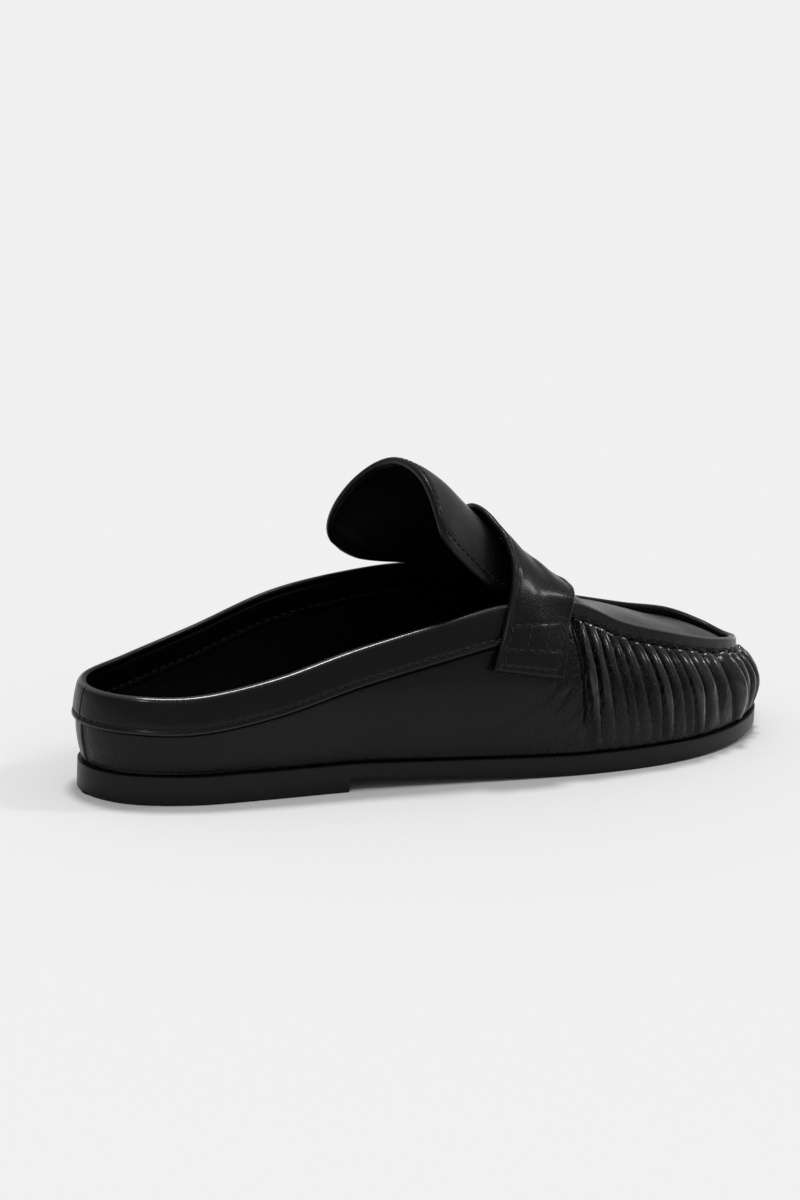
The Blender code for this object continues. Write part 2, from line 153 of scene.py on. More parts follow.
TONGUE_ROWS = (
    TongueRow(0.000, 0.598, 1.125, 0.598, 0.945, 0.598, 0.945, 0.430),
    TongueRow(0.227, 0.560, 1.318, 0.545, 0.985, 0.529, 1.015, 0.440),
    TongueRow(0.482, 0.520, 1.468, 0.476, 1.188, 0.447, 1.050, 0.485),
    TongueRow(0.733, 0.480, 1.618, 0.433, 1.360, 0.389, 1.205, 0.525),
    TongueRow(0.938, 0.445, 1.706, 0.410, 1.490, 0.358, 1.370, 0.495),
    TongueRow(1.064, 0.420, 1.730, 0.396, 1.550, 0.346, 1.450, 0.455),
)

STRAP_ROWS = (
    StrapRow(0.00, 0.541, 0.652),
    StrapRow(0.25, 0.548, 0.648),
    StrapRow(0.45, 0.545, 0.641),
    StrapRow(0.62, 0.524, 0.624),
    StrapRow(0.80, 0.503, 0.603),
    StrapRow(1.00, 0.486, 0.583),
)


def follow(rows: Sequence[NamedTuple], column: str, x: Array) -> Array:
    """Read a table's column on a smooth curve with no overshoot.

    Args:
        rows: Table whose first column rises.
        column: Name of the column to read.
        x: Places in the first column.

    Returns:
        The column's values at x.
    """
    xs = np.array([row[0] for row in rows])
    ys = np.array([getattr(row, column) for row in rows])
    steps = np.diff(xs)
    slopes = np.diff(ys) / steps
    left, right = slopes[:-1], slopes[1:]
    total = np.where(left + right == 0, 1, left + right)
    inner = np.where(left * right > 0, 2 * left * right / total, 0)
    ends = np.concatenate([[slopes[0]], inner, [slopes[-1]]])
    x = np.clip(x, xs[0], xs[-1])
    i = np.clip(np.searchsorted(xs, x, side="right") - 1, 0, len(steps) - 1)
    f = (x - xs[i]) / steps[i]
    return ((2 * f**3 - 3 * f**2 + 1) * ys[i] + (f**3 - 2 * f**2 + f) * steps[i] * ends[i]
            + (3 * f**2 - 2 * f**3) * ys[i + 1] + (f**3 - f**2) * steps[i] * ends[i + 1])


def spline(p0: Array, p1: Array, p2: Array, p3: Array, f: Array) -> Array:
    """Smooth curve from p1 to p2 at shares f, with p0 before it and p3 after it."""
    return 0.5 * (2 * p1 + (p2 - p0) * f + (2 * p0 - 5 * p1 + 4 * p2 - p3) * f**2
                  + (3 * p1 - p0 - 3 * p2 + p3) * f**3)


def ease(low: float, high: float, value: Array) -> Array:
    """Rise smoothly from 0 below low to 1 above high."""
    f = np.clip((value - low) / (high - low), 0, 1)
    return f * f * (3 - 2 * f)


def dent(distance: Array, width: float) -> Array:
    """Bell-shaped weight of a groove: 1 on its line, 0 a few widths away."""
    return np.exp(-(distance / width)**2)


def unit(vectors: Array) -> Array:
    """Vectors of length one."""
    return vectors / np.maximum(np.linalg.norm(vectors, axis=1), 1e-12)[:, None]


def facing(surface: Surface, a: Array, c: Array, step: float = 0.002) -> Array:
    """Unit normals of a surface by its own slopes.

    Args:
        surface: Points for each pair of shares.
        a: First share of each point.
        c: Second share of each point.
        step: Distance in shares over which a slope is read.

    Returns:
        One normal for each point, along d/da x d/dc.
    """
    run = surface(a + step, c) - surface(a - step, c)
    rise = surface(a, np.minimum(c + step, 1)) - surface(a, np.maximum(c - step, 0))
    return unit(np.cross(run, rise))


def upright(surface: Surface, a: Array, c: Array) -> Array:
    """Unit normals of a surface, turned so that they point up on the whole."""
    normals = facing(surface, a, c)
    return normals * np.sign(normals[:, 2].mean())


def run_along(path: Array) -> Array:
    """Distances along a path of points, from its first point."""
    return np.concatenate([[0], np.cumsum(np.linalg.norm(np.diff(path, axis=0), axis=1))])


def lattice(a: Array, c: Array) -> list[Array]:
    """Every pair of values from two rows."""
    return [grid.ravel() for grid in np.meshgrid(a, c, indexing="ij")]


def add_object(name: str, data: bpy.types.ID) -> bpy.types.Object:
    """Put new data in the scene as an object."""
    made = bpy.data.objects.new(name, data)
    bpy.context.scene.collection.objects.link(made)
    return made


def add_mesh(name: str, bm: bmesh.types.BMesh) -> bpy.types.Object:
    """Put a finished mesh in the scene as an object."""
    mesh = bpy.data.meshes.new(name)
    bm.to_mesh(mesh)
    bm.free()
    return add_object(name, mesh)


class Undulation:
    """Smooth seeded noise over two coordinates, between -1 and 1."""

    def __init__(self, seed: int, size: int = 64) -> None:
        """Draw the lattice's values.

        Args:
            seed: Number that fixes the pattern.
            size: Lattice points each way before the pattern repeats.
        """
        self.size = size
        self.values = np.random.default_rng(seed).uniform(-1, 1, (size, size))

    def __call__(self, a: Array, b: Array) -> Array:
        """Noise at lattice coordinates a and b."""
        i, j = np.floor(a).astype(int), np.floor(b).astype(int)
        f, g = a - i, b - j
        f, g = f * f * (3 - 2 * f), g * g * (3 - 2 * g)
        v, n = self.values, self.size
        low = v[i % n, j % n] * (1 - f) + v[(i + 1) % n, j % n] * f
        high = v[i % n, (j + 1) % n] * (1 - f) + v[(i + 1) % n, (j + 1) % n] * f
        return low * (1 - g) + high * g


@dataclass(frozen=True)
class Last:
    """The shoe's own shape: its sizes and the surfaces that follow from them."""

    instep_height: float = 0.0600
    arch_rise: float = 0.0265
    sole_thickness: float = 0.0070
    heel_lift: float = 0.0039
    breast: float = 0.0800
    toe_spring: float = 0.0029
    welt_step: float = 0.0015
    insole_thickness: float = 0.0030
    wall: float = 0.0020
    band_height: float = 0.0115
    band_proud: float = 0.0009
    rim_height: float = 0.0060
    rim_thickness: float = 0.0029
    plug_drop: float = 0.0035
    plug_thickness: float = 0.0020
    plug_reach: float = 0.0012
    top_lean: float = 0.0140
    side_bulge: float = 0.0030
    tongue_thickness: float = 0.0026
    strap_thickness: float = 0.0022
    strap_end_back: float = 0.0385
    strap_end_front: float = 0.0340
    gap: float = 0.0003
    pleat_start: float = 0.640
    vamp_start: float = 0.545
    vamp_end: float = 0.605
    tongue_corner: float = 0.60
    corner_power: float = 2.4
    arch_power: float = 2.3
    strap_shoulder: float = 0.62
    end: int = len(SECTIONS) - 1
    turn: int = 2 * (len(SECTIONS) - 1)

    def closed_rows(self) -> Array:
        """The sections as rows once round the shoe, lateral side first."""
        rows = []
        for i in range(self.turn):
            lateral = i <= self.end
            s = SECTIONS[i if lateral else self.turn - i]
            y = -s.lateral * s.width if lateral else s.medial * s.width
            rise = s.rise_lat if lateral else s.rise_med
            top = s.low + (self.instep_height - s.low) * rise
            rows.append((s.x * LENGTH, y, top, s.lean * self.top_lean, s.bulge * self.side_bulge, s.curl,
                         s.crown * self.arch_rise, s.drop * self.plug_drop))
        return np.array(rows)

    def station(self, u: Array) -> Array:
        """Read x, y, top, lean, bulge, curl, crown and drop at stations u.

        Args:
            u: Stations round the shoe, from the back of the heel.

        Returns:
            One row of eight values for each station.
        """
        rows = self.closed_rows()
        u = np.atleast_1d(np.asarray(u, float)) % self.turn
        i = np.floor(u).astype(int)
        return spline(*(rows[(i + k) % self.turn] for k in (-1, 0, 1, 2)), (u - i)[:, None])

    def outward(self, u: Array, step: float = 0.02) -> Array:
        """Unit normals of the sole's outline in plan, pointing out of the shoe."""
        d = self.station(np.asarray(u) + step)[:, :2] - self.station(np.asarray(u) - step)[:, :2]
        d /= np.linalg.norm(d, axis=1)[:, None]
        return np.stack([d[:, 1], -d[:, 0]], axis=1)

    def lateral_station(self, x: Array) -> Array:
        """Stations on the lateral side at distances x from the back."""
        w = np.linspace(0.5, self.end - 0.5, 400)
        return np.interp(x, self.station(w)[:, 0], w)

    def underside(self, x: Array) -> Array:
        """Height of the outsole's underside, the heel block left out."""
        share = x / LENGTH
        return self.heel_lift * follow(SOLE_ROWS, "lift", share) + self.toe_spring * follow(SOLE_ROWS, "spring", share)

    def sole_top(self, x: Array) -> Array:
        """Height of the outsole's upper face."""
        return self.underside(x) + self.sole_thickness * follow(SOLE_ROWS, "thick", x / LENGTH)

    def vamp(self, x: Array) -> Array:
        """0 on the quarters, 1 where the gathered vamp and its rim are."""
        return ease(self.vamp_start, self.vamp_end, x / LENGTH)

    def place(self, x: Array, y: Array, z: Array) -> Array:
        """Points in the shoe's frame from distances measured from the back."""
        return np.stack(np.broadcast_arrays(x - HEEL_CENTRE, y, z), axis=-1)

    def wall_height(self, u: Array) -> Array:
        """Height of the upper's wall from its foot to its top line."""
        s = self.station(u)
        return s[:, 2] - self.sole_top(s[:, 0]) - self.gap

    def side(self, u: Array, t: Array, proud: Union[float, Array] = 0.0) -> Array:
        """Points on the outside of the upper.

        Args:
            u: Stations round the shoe.
            t: Shares of the wall's height.
            proud: How far outside the wall the points lie.

        Returns:
            One point for each station.
        """
        s = self.station(u)
        x, y, _, lean, bulge, curl = s[:, :6].T
        tall = s[:, 2] - self.sole_top(x) - self.gap
        seam = 1 - self.vamp(x) * self.rim_height / tall
        tau = np.clip(t / seam, 0, 1)
        out = proud - self.welt_step * (1 - tau)**2 - lean * tau**curl + bulge * 4 * tau * (1 - tau)
        n = self.outward(u)
        return self.place(x + n[:, 0] * out, y + n[:, 1] * out, self.sole_top(x) + self.gap + tall * t)

    def step_share(self, u: Array) -> Array:
        """Share of the height at the band's lower edge, or at the scalloped seam."""
        fore = self.vamp(self.station(u)[:, 0])
        return 1 - (self.band_height + (self.rim_height - self.band_height) * fore) / self.wall_height(u)

    def pleat_station(self) -> float:
        """Station where the gathers begin on the lateral side."""
        return float(np.interp(self.pleat_start, [s.x for s in SECTIONS], range(self.end + 1)))

    def plug_edges(self, w: Array) -> list[Array]:
        """Where the plug meets the rim, on the lateral and then the medial side."""
        ends = []
        for u in (w, self.turn - w):
            level = 1 - self.station(u)[:, 7] / self.wall_height(u)
            ends.append(self.side(u, level, self.plug_reach - self.rim_thickness))
        return ends

    def plug(self, w: Array, across: Array) -> Array:
        """The plug's surface, from the lateral rim (-1) to the medial rim (1)."""
        near, far = self.plug_edges(w)
        line = near + (far - near) * (across[:, None] + 1) / 2
        line[:, 2] += self.station(w)[:, 6] * (1 - np.abs(across)**self.arch_power)
        return line

    def tongue(self, along: Array, across: Array) -> Array:
        """The tongue's outer surface; along runs from the throat to the tip."""
        round_end = (1 - np.abs(across)**self.corner_power)**(1 / self.corner_power)
        a = along * (self.tongue_corner + (1 - self.tongue_corner) * round_end)
        bend = np.abs(across)**self.arch_power
        row = {name: follow(TONGUE_ROWS, name, a) for name in TongueRow._fields[1:]}
        edge_x = np.where(across < 0, row["lat_x"], row["med_x"])
        edge_z = np.where(across < 0, row["lat_z"], row["med_z"])
        return self.place(LENGTH * (row["crown_x"] + (edge_x - row["crown_x"]) * bend),
                          HEEL_WIDTH * row["half"] * across,
                          self.instep_height * (row["crown_z"] + (edge_z - row["crown_z"]) * bend))

    def crown_height(self, x: Array) -> Array:
        """Height of the instep's ridge, over the tongue and then over the plug."""
        rows = TONGUE_ROWS[::-1]
        over_tongue = np.interp(x, [r.crown_x * LENGTH for r in rows], [r.crown_z * self.instep_height for r in rows])
        w = np.linspace(self.lateral_station(self.vamp_start * LENGTH), self.end - 1, 200)
        middle = sum(self.plug_edges(w)) / 2
        over_plug = np.interp(x - HEEL_CENTRE, middle[:, 0], middle[:, 2] + self.station(w)[:, 6])
        return np.where(x < TONGUE_ROWS[0].crown_x * LENGTH, over_tongue, over_plug)

    def strap_bed(self, along: Array, across: Array) -> Array:
        """What the strap lies on; along runs from its back edge to its front edge."""
        side = np.abs(across)
        back, front = (LENGTH * follow(STRAP_ROWS, name, side) for name in ("back", "front"))
        x = back + (front - back) * along
        w = self.lateral_station(x)
        u = np.where(across < 0, w, self.turn - w)
        top = self.station(u)[:, 2]
        end = self.strap_end_back + (self.strap_end_front - self.strap_end_back) * along
        drop = np.clip((side - self.strap_shoulder) / (1 - self.strap_shoulder), 0, 1)
        share = 1 - (top - end) * drop / self.wall_height(u)
        shift = self.side(u, share)[:, 0] - self.place(x, 0, 0)[:, 0]
        w = self.lateral_station(x - shift)
        points = self.side(np.where(across < 0, w, self.turn - w), share, self.band_proud)
        bend = np.clip(side / self.strap_shoulder, 0, 1)
        points[:, 0] = x - HEEL_CENTRE
        points[:, 1] *= bend
        points[:, 2] += (self.crown_height(x) - top) * (1 - bend**self.arch_power)
        return points


@dataclass(frozen=True)
class Gathers:
    """The vamp's gathers, placed by distances along the seam under the rim."""

    last: Last
    near: tuple[float, ...] = (-3.2, 0.4, 7.2, 11.5, 15.7, 22.5, 26.5, 32.4, 36.1, 41.5, 48.9, 57.1, 65.6, 73.1, 80.0)
    pitch: float = 6.3
    scatter: float = 1.3
    depth: float = 0.00205
    meander: float = 0.0011
    slant: float = 0.0060
    seed: int = 11
    wander: Undulation = Undulation(29)
    table: dict = field(default_factory=dict, compare=False)

    def __post_init__(self) -> None:
        """Work out the distances along the seam and each gather's own size."""
        last, start = self.last, self.last.pleat_station()
        u = np.linspace(start - 1.2, last.turn - start + 1.2, 3000)
        seam = last.side(u, last.step_share(u))
        run = run_along(seam)
        run -= np.interp(start, u, run)
        total = float(np.interp(last.turn - start, u, run))
        rng = np.random.default_rng(self.seed)
        ridges = [value * MM for value in self.near]
        while ridges[-1] < total + 0.002:
            ridges.append(ridges[-1] + (self.pitch + self.scatter * rng.uniform(-1, 1)) * MM)
        ridges = np.array(ridges)
        valleys = np.concatenate([[ridges[0] - 0.003], (ridges[1:] + ridges[:-1]) / 2, [ridges[-1] + 0.003]])
        count = len(ridges)
        self.table.update(
            u=u, run=run, total=total, valleys=valleys, tall=rng.uniform(0.70, 1.20, count),
            reach=rng.uniform(-0.15, 0.30, count), skew=rng.uniform(-0.20, 0.20, count))
        self.table["tall"][:2] = 1.5, 1.2
        self.table["reach"][:6] = 0.05, 0.15, 0.28, 0.12, 0.25, 0.00

    def along(self, u: Array) -> Array:
        """Distances along the seam at stations u."""
        return np.interp(u, self.table["u"], self.table["run"])

    def zone(self, u: Array) -> Array:
        """1 where the wall is gathered, fading out at both ends."""
        s, total = self.along(u), self.table["total"]
        return ease(-0.0068, -0.0040, s) * ease(-0.0068, -0.0040, total - s)

    def ridge(self, u: Array, tau: Array) -> tuple[Array, Array]:
        """Shape of the gathers.

        Args:
            u: Stations round the shoe.
            tau: Shares of the height between the foot and the seam.

        Returns:
            Height from 0 in a valley to 1 on a ridge, and each gather's strength.
        """
        t = self.table
        s, total = self.along(u), t["total"]
        lean = self.slant * (1 - tau)**1.2 * np.clip(1 - 2 * s / total, -1, 1)
        s = s - lean - self.meander * self.wander(s / 0.0095, tau * 2.3 + 4) * (0.35 + 0.65 * (1 - tau))
        k = np.clip(np.searchsorted(t["valleys"], s, side="right") - 1, 0, len(t["tall"]) - 1)
        low, high = t["valleys"][k], t["valleys"][k + 1]
        p = np.clip((s - low) / (high - low), 0, 1)
        q = 2 * p - 1
        q = q + t["skew"][k] * (1 - q**2)
        height = 1 - np.abs(q)**2.2
        strength = t["tall"][k] * (0.15 + 0.85 * (high - low) / (self.pitch * MM))
        strength = strength * (0.10 + 0.90 * ease(t["reach"][k] - 0.15, t["reach"][k] + 0.75, tau))
        return height, strength


@dataclass(frozen=True)
class Crease:
    """A soft trough in the side wall between two places, with a ridge beside it."""

    x0: float
    z0: float
    x1: float
    z1: float
    width: float
    depth: float

    def relief(self, points: Array) -> Array:
        """Height that the crease adds at points of the wall, in metres."""
        x, z = (points[:, 0] + HEEL_CENTRE) / MM, points[:, 2] / MM
        dx, dz = self.x1 - self.x0, self.z1 - self.z0
        length = math.hypot(dx, dz)
        run = ((x - self.x0) * dx + (z - self.z0) * dz) / length**2
        off = ((x - self.x0) * dz - (z - self.z0) * dx) / length
        f = np.clip(run, 0, 1)
        beyond = np.abs(run - f) * length
        taper = np.clip(4 * f * (1 - f), 0, 1)**0.5 * dent(beyond, self.width)
        off = off + 0.35 * self.width * np.sin(f * 5 + self.x0)
        return MM * self.depth * taper * (0.55 * dent(off - 1.7 * self.width, self.width) - dent(off, self.width))


class Finish(Enum):
    """Leathers and rubbers that the shoe is made of."""

    CALF = "calf"
    LINING = "lining"
    RUBBER = "rubber"
    THREAD = "thread"


class Val:
    """A shader socket's value, with Python's own arithmetic."""

    def __init__(self, shader: "Shader", socket: bpy.types.NodeSocket) -> None:
        """Keep the socket and the shader it belongs to."""
        self.shader, self.socket = shader, socket

    def op(self, name: str, *others: Union["Val", float]) -> "Val":
        """A Math node on this value and others."""
        return self.shader.node("ShaderNodeMath", {"operation": name}, dict(enumerate((self, *others))))[0]

    def __add__(self, other: Union["Val", float]) -> "Val":
        """Sum."""
        return self.op("ADD", other)

    def __sub__(self, other: Union["Val", float]) -> "Val":
        """Difference."""
        return self.op("SUBTRACT", other)

    def __rsub__(self, other: float) -> "Val":
        """Difference from a number."""
        return self.shader.node("ShaderNodeMath", {"operation": "SUBTRACT"}, {0: other, 1: self})[0]

    def __mul__(self, other: Union["Val", float]) -> "Val":
        """Product."""
        return self.op("MULTIPLY", other)

    __radd__ = __add__
    __rmul__ = __mul__

    def between(self, low: float, high: float) -> "Val":
        """0 below low, 1 above high and a smooth rise between them."""
        return self.shader.node("ShaderNodeMapRange", {"interpolation_type": "SMOOTHSTEP"},
                                {"Value": self, "From Min": low, "From Max": high})[0]


class Shader:
    """One material under construction."""

    def __init__(self, name: str) -> None:
        """Make a material with a Principled shader.

        Args:
            name: Name of the material.
        """
        self.material = bpy.data.materials.new(name)
        self.material.use_nodes = True
        self.tree = self.material.node_tree
        self.surface = self.tree.nodes["Principled BSDF"]
        self.object_coords = self.node("ShaderNodeTexCoord")["Object"]

    def node(self, kind: str, settings: dict | None = None, values: dict | None = None) -> "Outputs":
        """Add a node.

        Args:
            kind: The node's type.
            settings: Properties of the node, which are set first.
            values: A value or a link for each socket, by name or number.

        Returns:
            The node's outputs, by name or number.
        """
        node = self.tree.nodes.new(kind)
        for key, value in (settings or {}).items():
            setattr(node, key, value)
        for key, value in (values or {}).items():
            self.put(node.inputs[key], value)
        return Outputs(self, node)

    def put(self, socket: bpy.types.NodeSocket, value: Union[Val, float, tuple]) -> None:
        """Link a value to a socket, or set a number, a vector or an opaque colour."""
        if isinstance(value, Val):
            self.tree.links.new(value.socket, socket)
        else:
            socket.default_value = (*value, 1.0) if socket.type == "RGBA" else value

    def noise(self, scale: float, detail: float = 2.0, rough: float = 0.5, coords: Val | None = None) -> Val:
        """Noise between 0 and 1 on the object's own coordinates."""
        return self.node("ShaderNodeTexNoise", None, {
            "Vector": coords or self.object_coords, "Scale": scale, "Detail": detail, "Roughness": rough})["Fac"]

    def cells(self, scale: float, feature: str = "F1", smooth: float = 0.4) -> Val:
        """Distances inside the cells of a pebbled grain."""
        values = {"Vector": self.object_coords, "Scale": scale}
        if feature == "SMOOTH_F1":
            values["Smoothness"] = smooth
        return self.node("ShaderNodeTexVoronoi", {"feature": feature}, values)["Distance"]

    def stretched(self, scale: tuple[float, float, float]) -> Val:
        """The object's coordinates stretched along its axes."""
        return self.node("ShaderNodeMapping", None, {"Vector": self.object_coords, "Scale": scale})[0]

    def attribute(self, name: str) -> Val:
        """A number kept on the piece's points."""
        return self.node("ShaderNodeAttribute", {"attribute_name": name}, None)["Fac"]

    def mix(self, factor: Union[Val, float], one: tuple, two: tuple) -> Val:
        """Mix two colours."""
        return self.node("ShaderNodeMix", {"data_type": "RGBA"}, {0: factor, 6: one, 7: two})[2]

    def bump(self, height: Val, distance: float, strength: float = 1.0, under: Val | None = None) -> Val:
        """Bumped normal.

        Args:
            height: Height between 0 and 1.
            distance: Metres that a height of 1 stands for.
            strength: Share of the bump that is used.
            under: Normal that this bump is laid over.

        Returns:
            The bumped normal.
        """
        values = {"Height": height, "Distance": distance, "Strength": strength}
        if under is not None:
            values["Normal"] = under
        return self.node("ShaderNodeBump", None, values)[0]

    def finish(self, **values: Union[Val, float, tuple]) -> bpy.types.Material:
        """Set the Principled shader's sockets.

        Args:
            **values: A value or link for each socket; an underscore stands for a space.

        Returns:
            The finished material.
        """
        for key, value in values.items():
            self.put(self.surface.inputs[key.replace("_", " ")], value)
        return self.material


class Outputs:
    """A node's output sockets as values."""

    def __init__(self, shader: Shader, node: bpy.types.Node) -> None:
        """Keep the node and its shader."""
        self.shader, self.made = shader, node

    def __getitem__(self, key: Union[int, str]) -> Val:
        """The output with that number or name."""
        return Val(self.shader, self.made.outputs[key])


@dataclass(frozen=True)
class Calf:
    """Smooth black calf leather with a fine grain and a soft polish."""

    name: str
    colour: tuple[float, float, float] = (0.0018, 0.0017, 0.0018)
    # Lighter colour, used for random mottling and for the painted highlight on gather ridges and edge tops.
    mottle_and_highlight: tuple[float, float, float] = (0.0042, 0.0040, 0.0042)
    gloss: float = 0.33
    grain: float = 0.00014
    grain_scale: float = 1250.0

    def make(self) -> bpy.types.Material:
        """Build the material."""
        s = Shader(self.name)
        crest = s.attribute("crest")
        warp = s.noise(300.0, 2.0)
        pebble = s.cells(self.grain_scale, "SMOOTH_F1", 0.35)
        fine = s.noise(3200.0, 2.0, 0.6)
        soft = s.noise(140.0, 3.0, 0.55)
        broad = s.noise(38.0, 2.0, 0.5)
        grain = pebble * 0.75 + fine * 0.30 + warp * 0.25
        # The crest mark lightens the colour as a painted highlight on the gather ridges and on the folded edge's top
        # and lip; the noise part is random mottling.
        tone = (broad * 0.5 + soft * 0.5).between(0.35, 0.75) * 0.45 + crest.between(0.55, 1.0) * 0.35
        rough = self.gloss + (soft - 0.5) * 0.12 + (fine - 0.5) * 0.08 - crest.between(0.5, 1.0) * 0.05
        lines = s.noise(400.0, 3.0, 0.6, s.stretched((1.0, 1.0, 0.55)))
        furrow = (1.0 - ((lines - 0.5) * 2.0).op("ABSOLUTE")).between(0.86, 1.0)
        normal = s.bump(broad, 0.0006, 0.35)
        normal = s.bump(furrow * s.attribute("worked"), 0.00048, 1.0, normal)
        normal = s.bump(soft, 0.00022, 0.60, normal)
        normal = s.bump(grain, self.grain, 1.0, normal)
        return s.finish(Base_Color=s.mix(tone, self.colour, self.mottle_and_highlight), Roughness=rough, Normal=normal,
                        Specular_IOR_Level=0.13, Coat_Roughness=0.17,
                        Coat_Weight=crest.between(0.35, 0.95) * 0.86 + 0.14)


@dataclass(frozen=True)
class Lining:
    """Matt black lining leather with pores."""

    name: str
    colour: tuple[float, float, float] = (0.0022, 0.0021, 0.0021)
    lit: tuple[float, float, float] = (0.0060, 0.0057, 0.0055)

    def make(self) -> bpy.types.Material:
        """Build the material."""
        s = Shader(self.name)
        pores = s.cells(900.0, "F1").between(0.0, 0.28)
        wrinkle = s.noise(520.0, 4.0, 0.65)
        broad = s.noise(60.0, 2.0)
        normal = s.bump(broad, 0.0005, 0.4)
        normal = s.bump(pores * 0.5 + wrinkle * 0.8, 0.00014, 1.0, normal)
        return s.finish(Base_Color=s.mix(wrinkle.between(0.4, 0.7) * 0.6, self.colour, self.lit),
                        Roughness=0.50 + (wrinkle - 0.5) * 0.25, Normal=normal, Specular_IOR_Level=0.22)


@dataclass(frozen=True)
class Rubber:
    """Half matt black rubber of the sole, with a tread on its underside."""

    name: str
    colour: tuple[float, float, float] = (0.0045, 0.0045, 0.0047)
    scuffed: tuple[float, float, float] = (0.0085, 0.0085, 0.0085)
    tread_pitch: float = 0.0048

    def make(self) -> bpy.types.Material:
        """Build the material."""
        s = Shader(self.name)
        tread = s.attribute("tread")
        fine = s.noise(2600.0, 3.0, 0.6)
        broad = s.noise(90.0, 3.0)
        bars = self.bars(s, 1.0) * self.bars(s, -1.0) * tread
        normal = s.bump(broad, 0.0003, 0.3)
        normal = s.bump(fine, 0.00006, 0.8, normal)
        normal = s.bump(bars, 0.0009, 1.0, normal)
        return s.finish(Base_Color=s.mix(broad.between(0.4, 0.8) * 0.6, self.colour, self.scuffed),
                        Roughness=0.40 + (broad - 0.5) * 0.15, Normal=normal, Specular_IOR_Level=0.15,
                        Coat_Weight=0.06, Coat_Roughness=0.18)

    def bars(self, s: Shader, slant: float) -> Val:
        """Bars of the tread that slant one way or the other."""
        wave = s.node("ShaderNodeTexWave", {"wave_type": "BANDS", "bands_direction": "DIAGONAL"}, {
            "Vector": s.stretched((1.0, slant, 0.0)), "Scale": 0.22 / self.tread_pitch, "Distortion": 0.0})["Fac"]
        return wave.between(0.15, 0.45)


@dataclass(frozen=True)
class Thread:
    """Black waxed thread with its twist."""

    name: str
    colour: tuple[float, float, float] = (0.004, 0.004, 0.0045)

    def make(self) -> bpy.types.Material:
        """Build the material."""
        s = Shader(self.name)
        twist = s.noise(4200.0, 1.0)
        return s.finish(Base_Color=s.mix(twist, self.colour, (0.012, 0.012, 0.013)),
                        Roughness=0.52 + (twist - 0.5) * 0.2, Normal=s.bump(twist, 0.00012, 1.0),
                        Specular_IOR_Level=0.24)


class Wardrobe:
    """Each finish as one material, made when it is first asked for."""

    makers = {
        Finish.CALF: Calf("calf_black"),
        Finish.LINING: Lining("lining_black"),
        Finish.RUBBER: Rubber("rubber_black"),
        Finish.THREAD: Thread("thread_black"),
    }

    def __init__(self) -> None:
        """Start with no material made."""
        self.made: dict[Finish, bpy.types.Material] = {}

    def get(self, finish: Finish) -> bpy.types.Material:
        """The material of a finish."""
        if finish not in self.made:
            self.made[finish] = self.makers[finish].make()
        return self.made[finish]


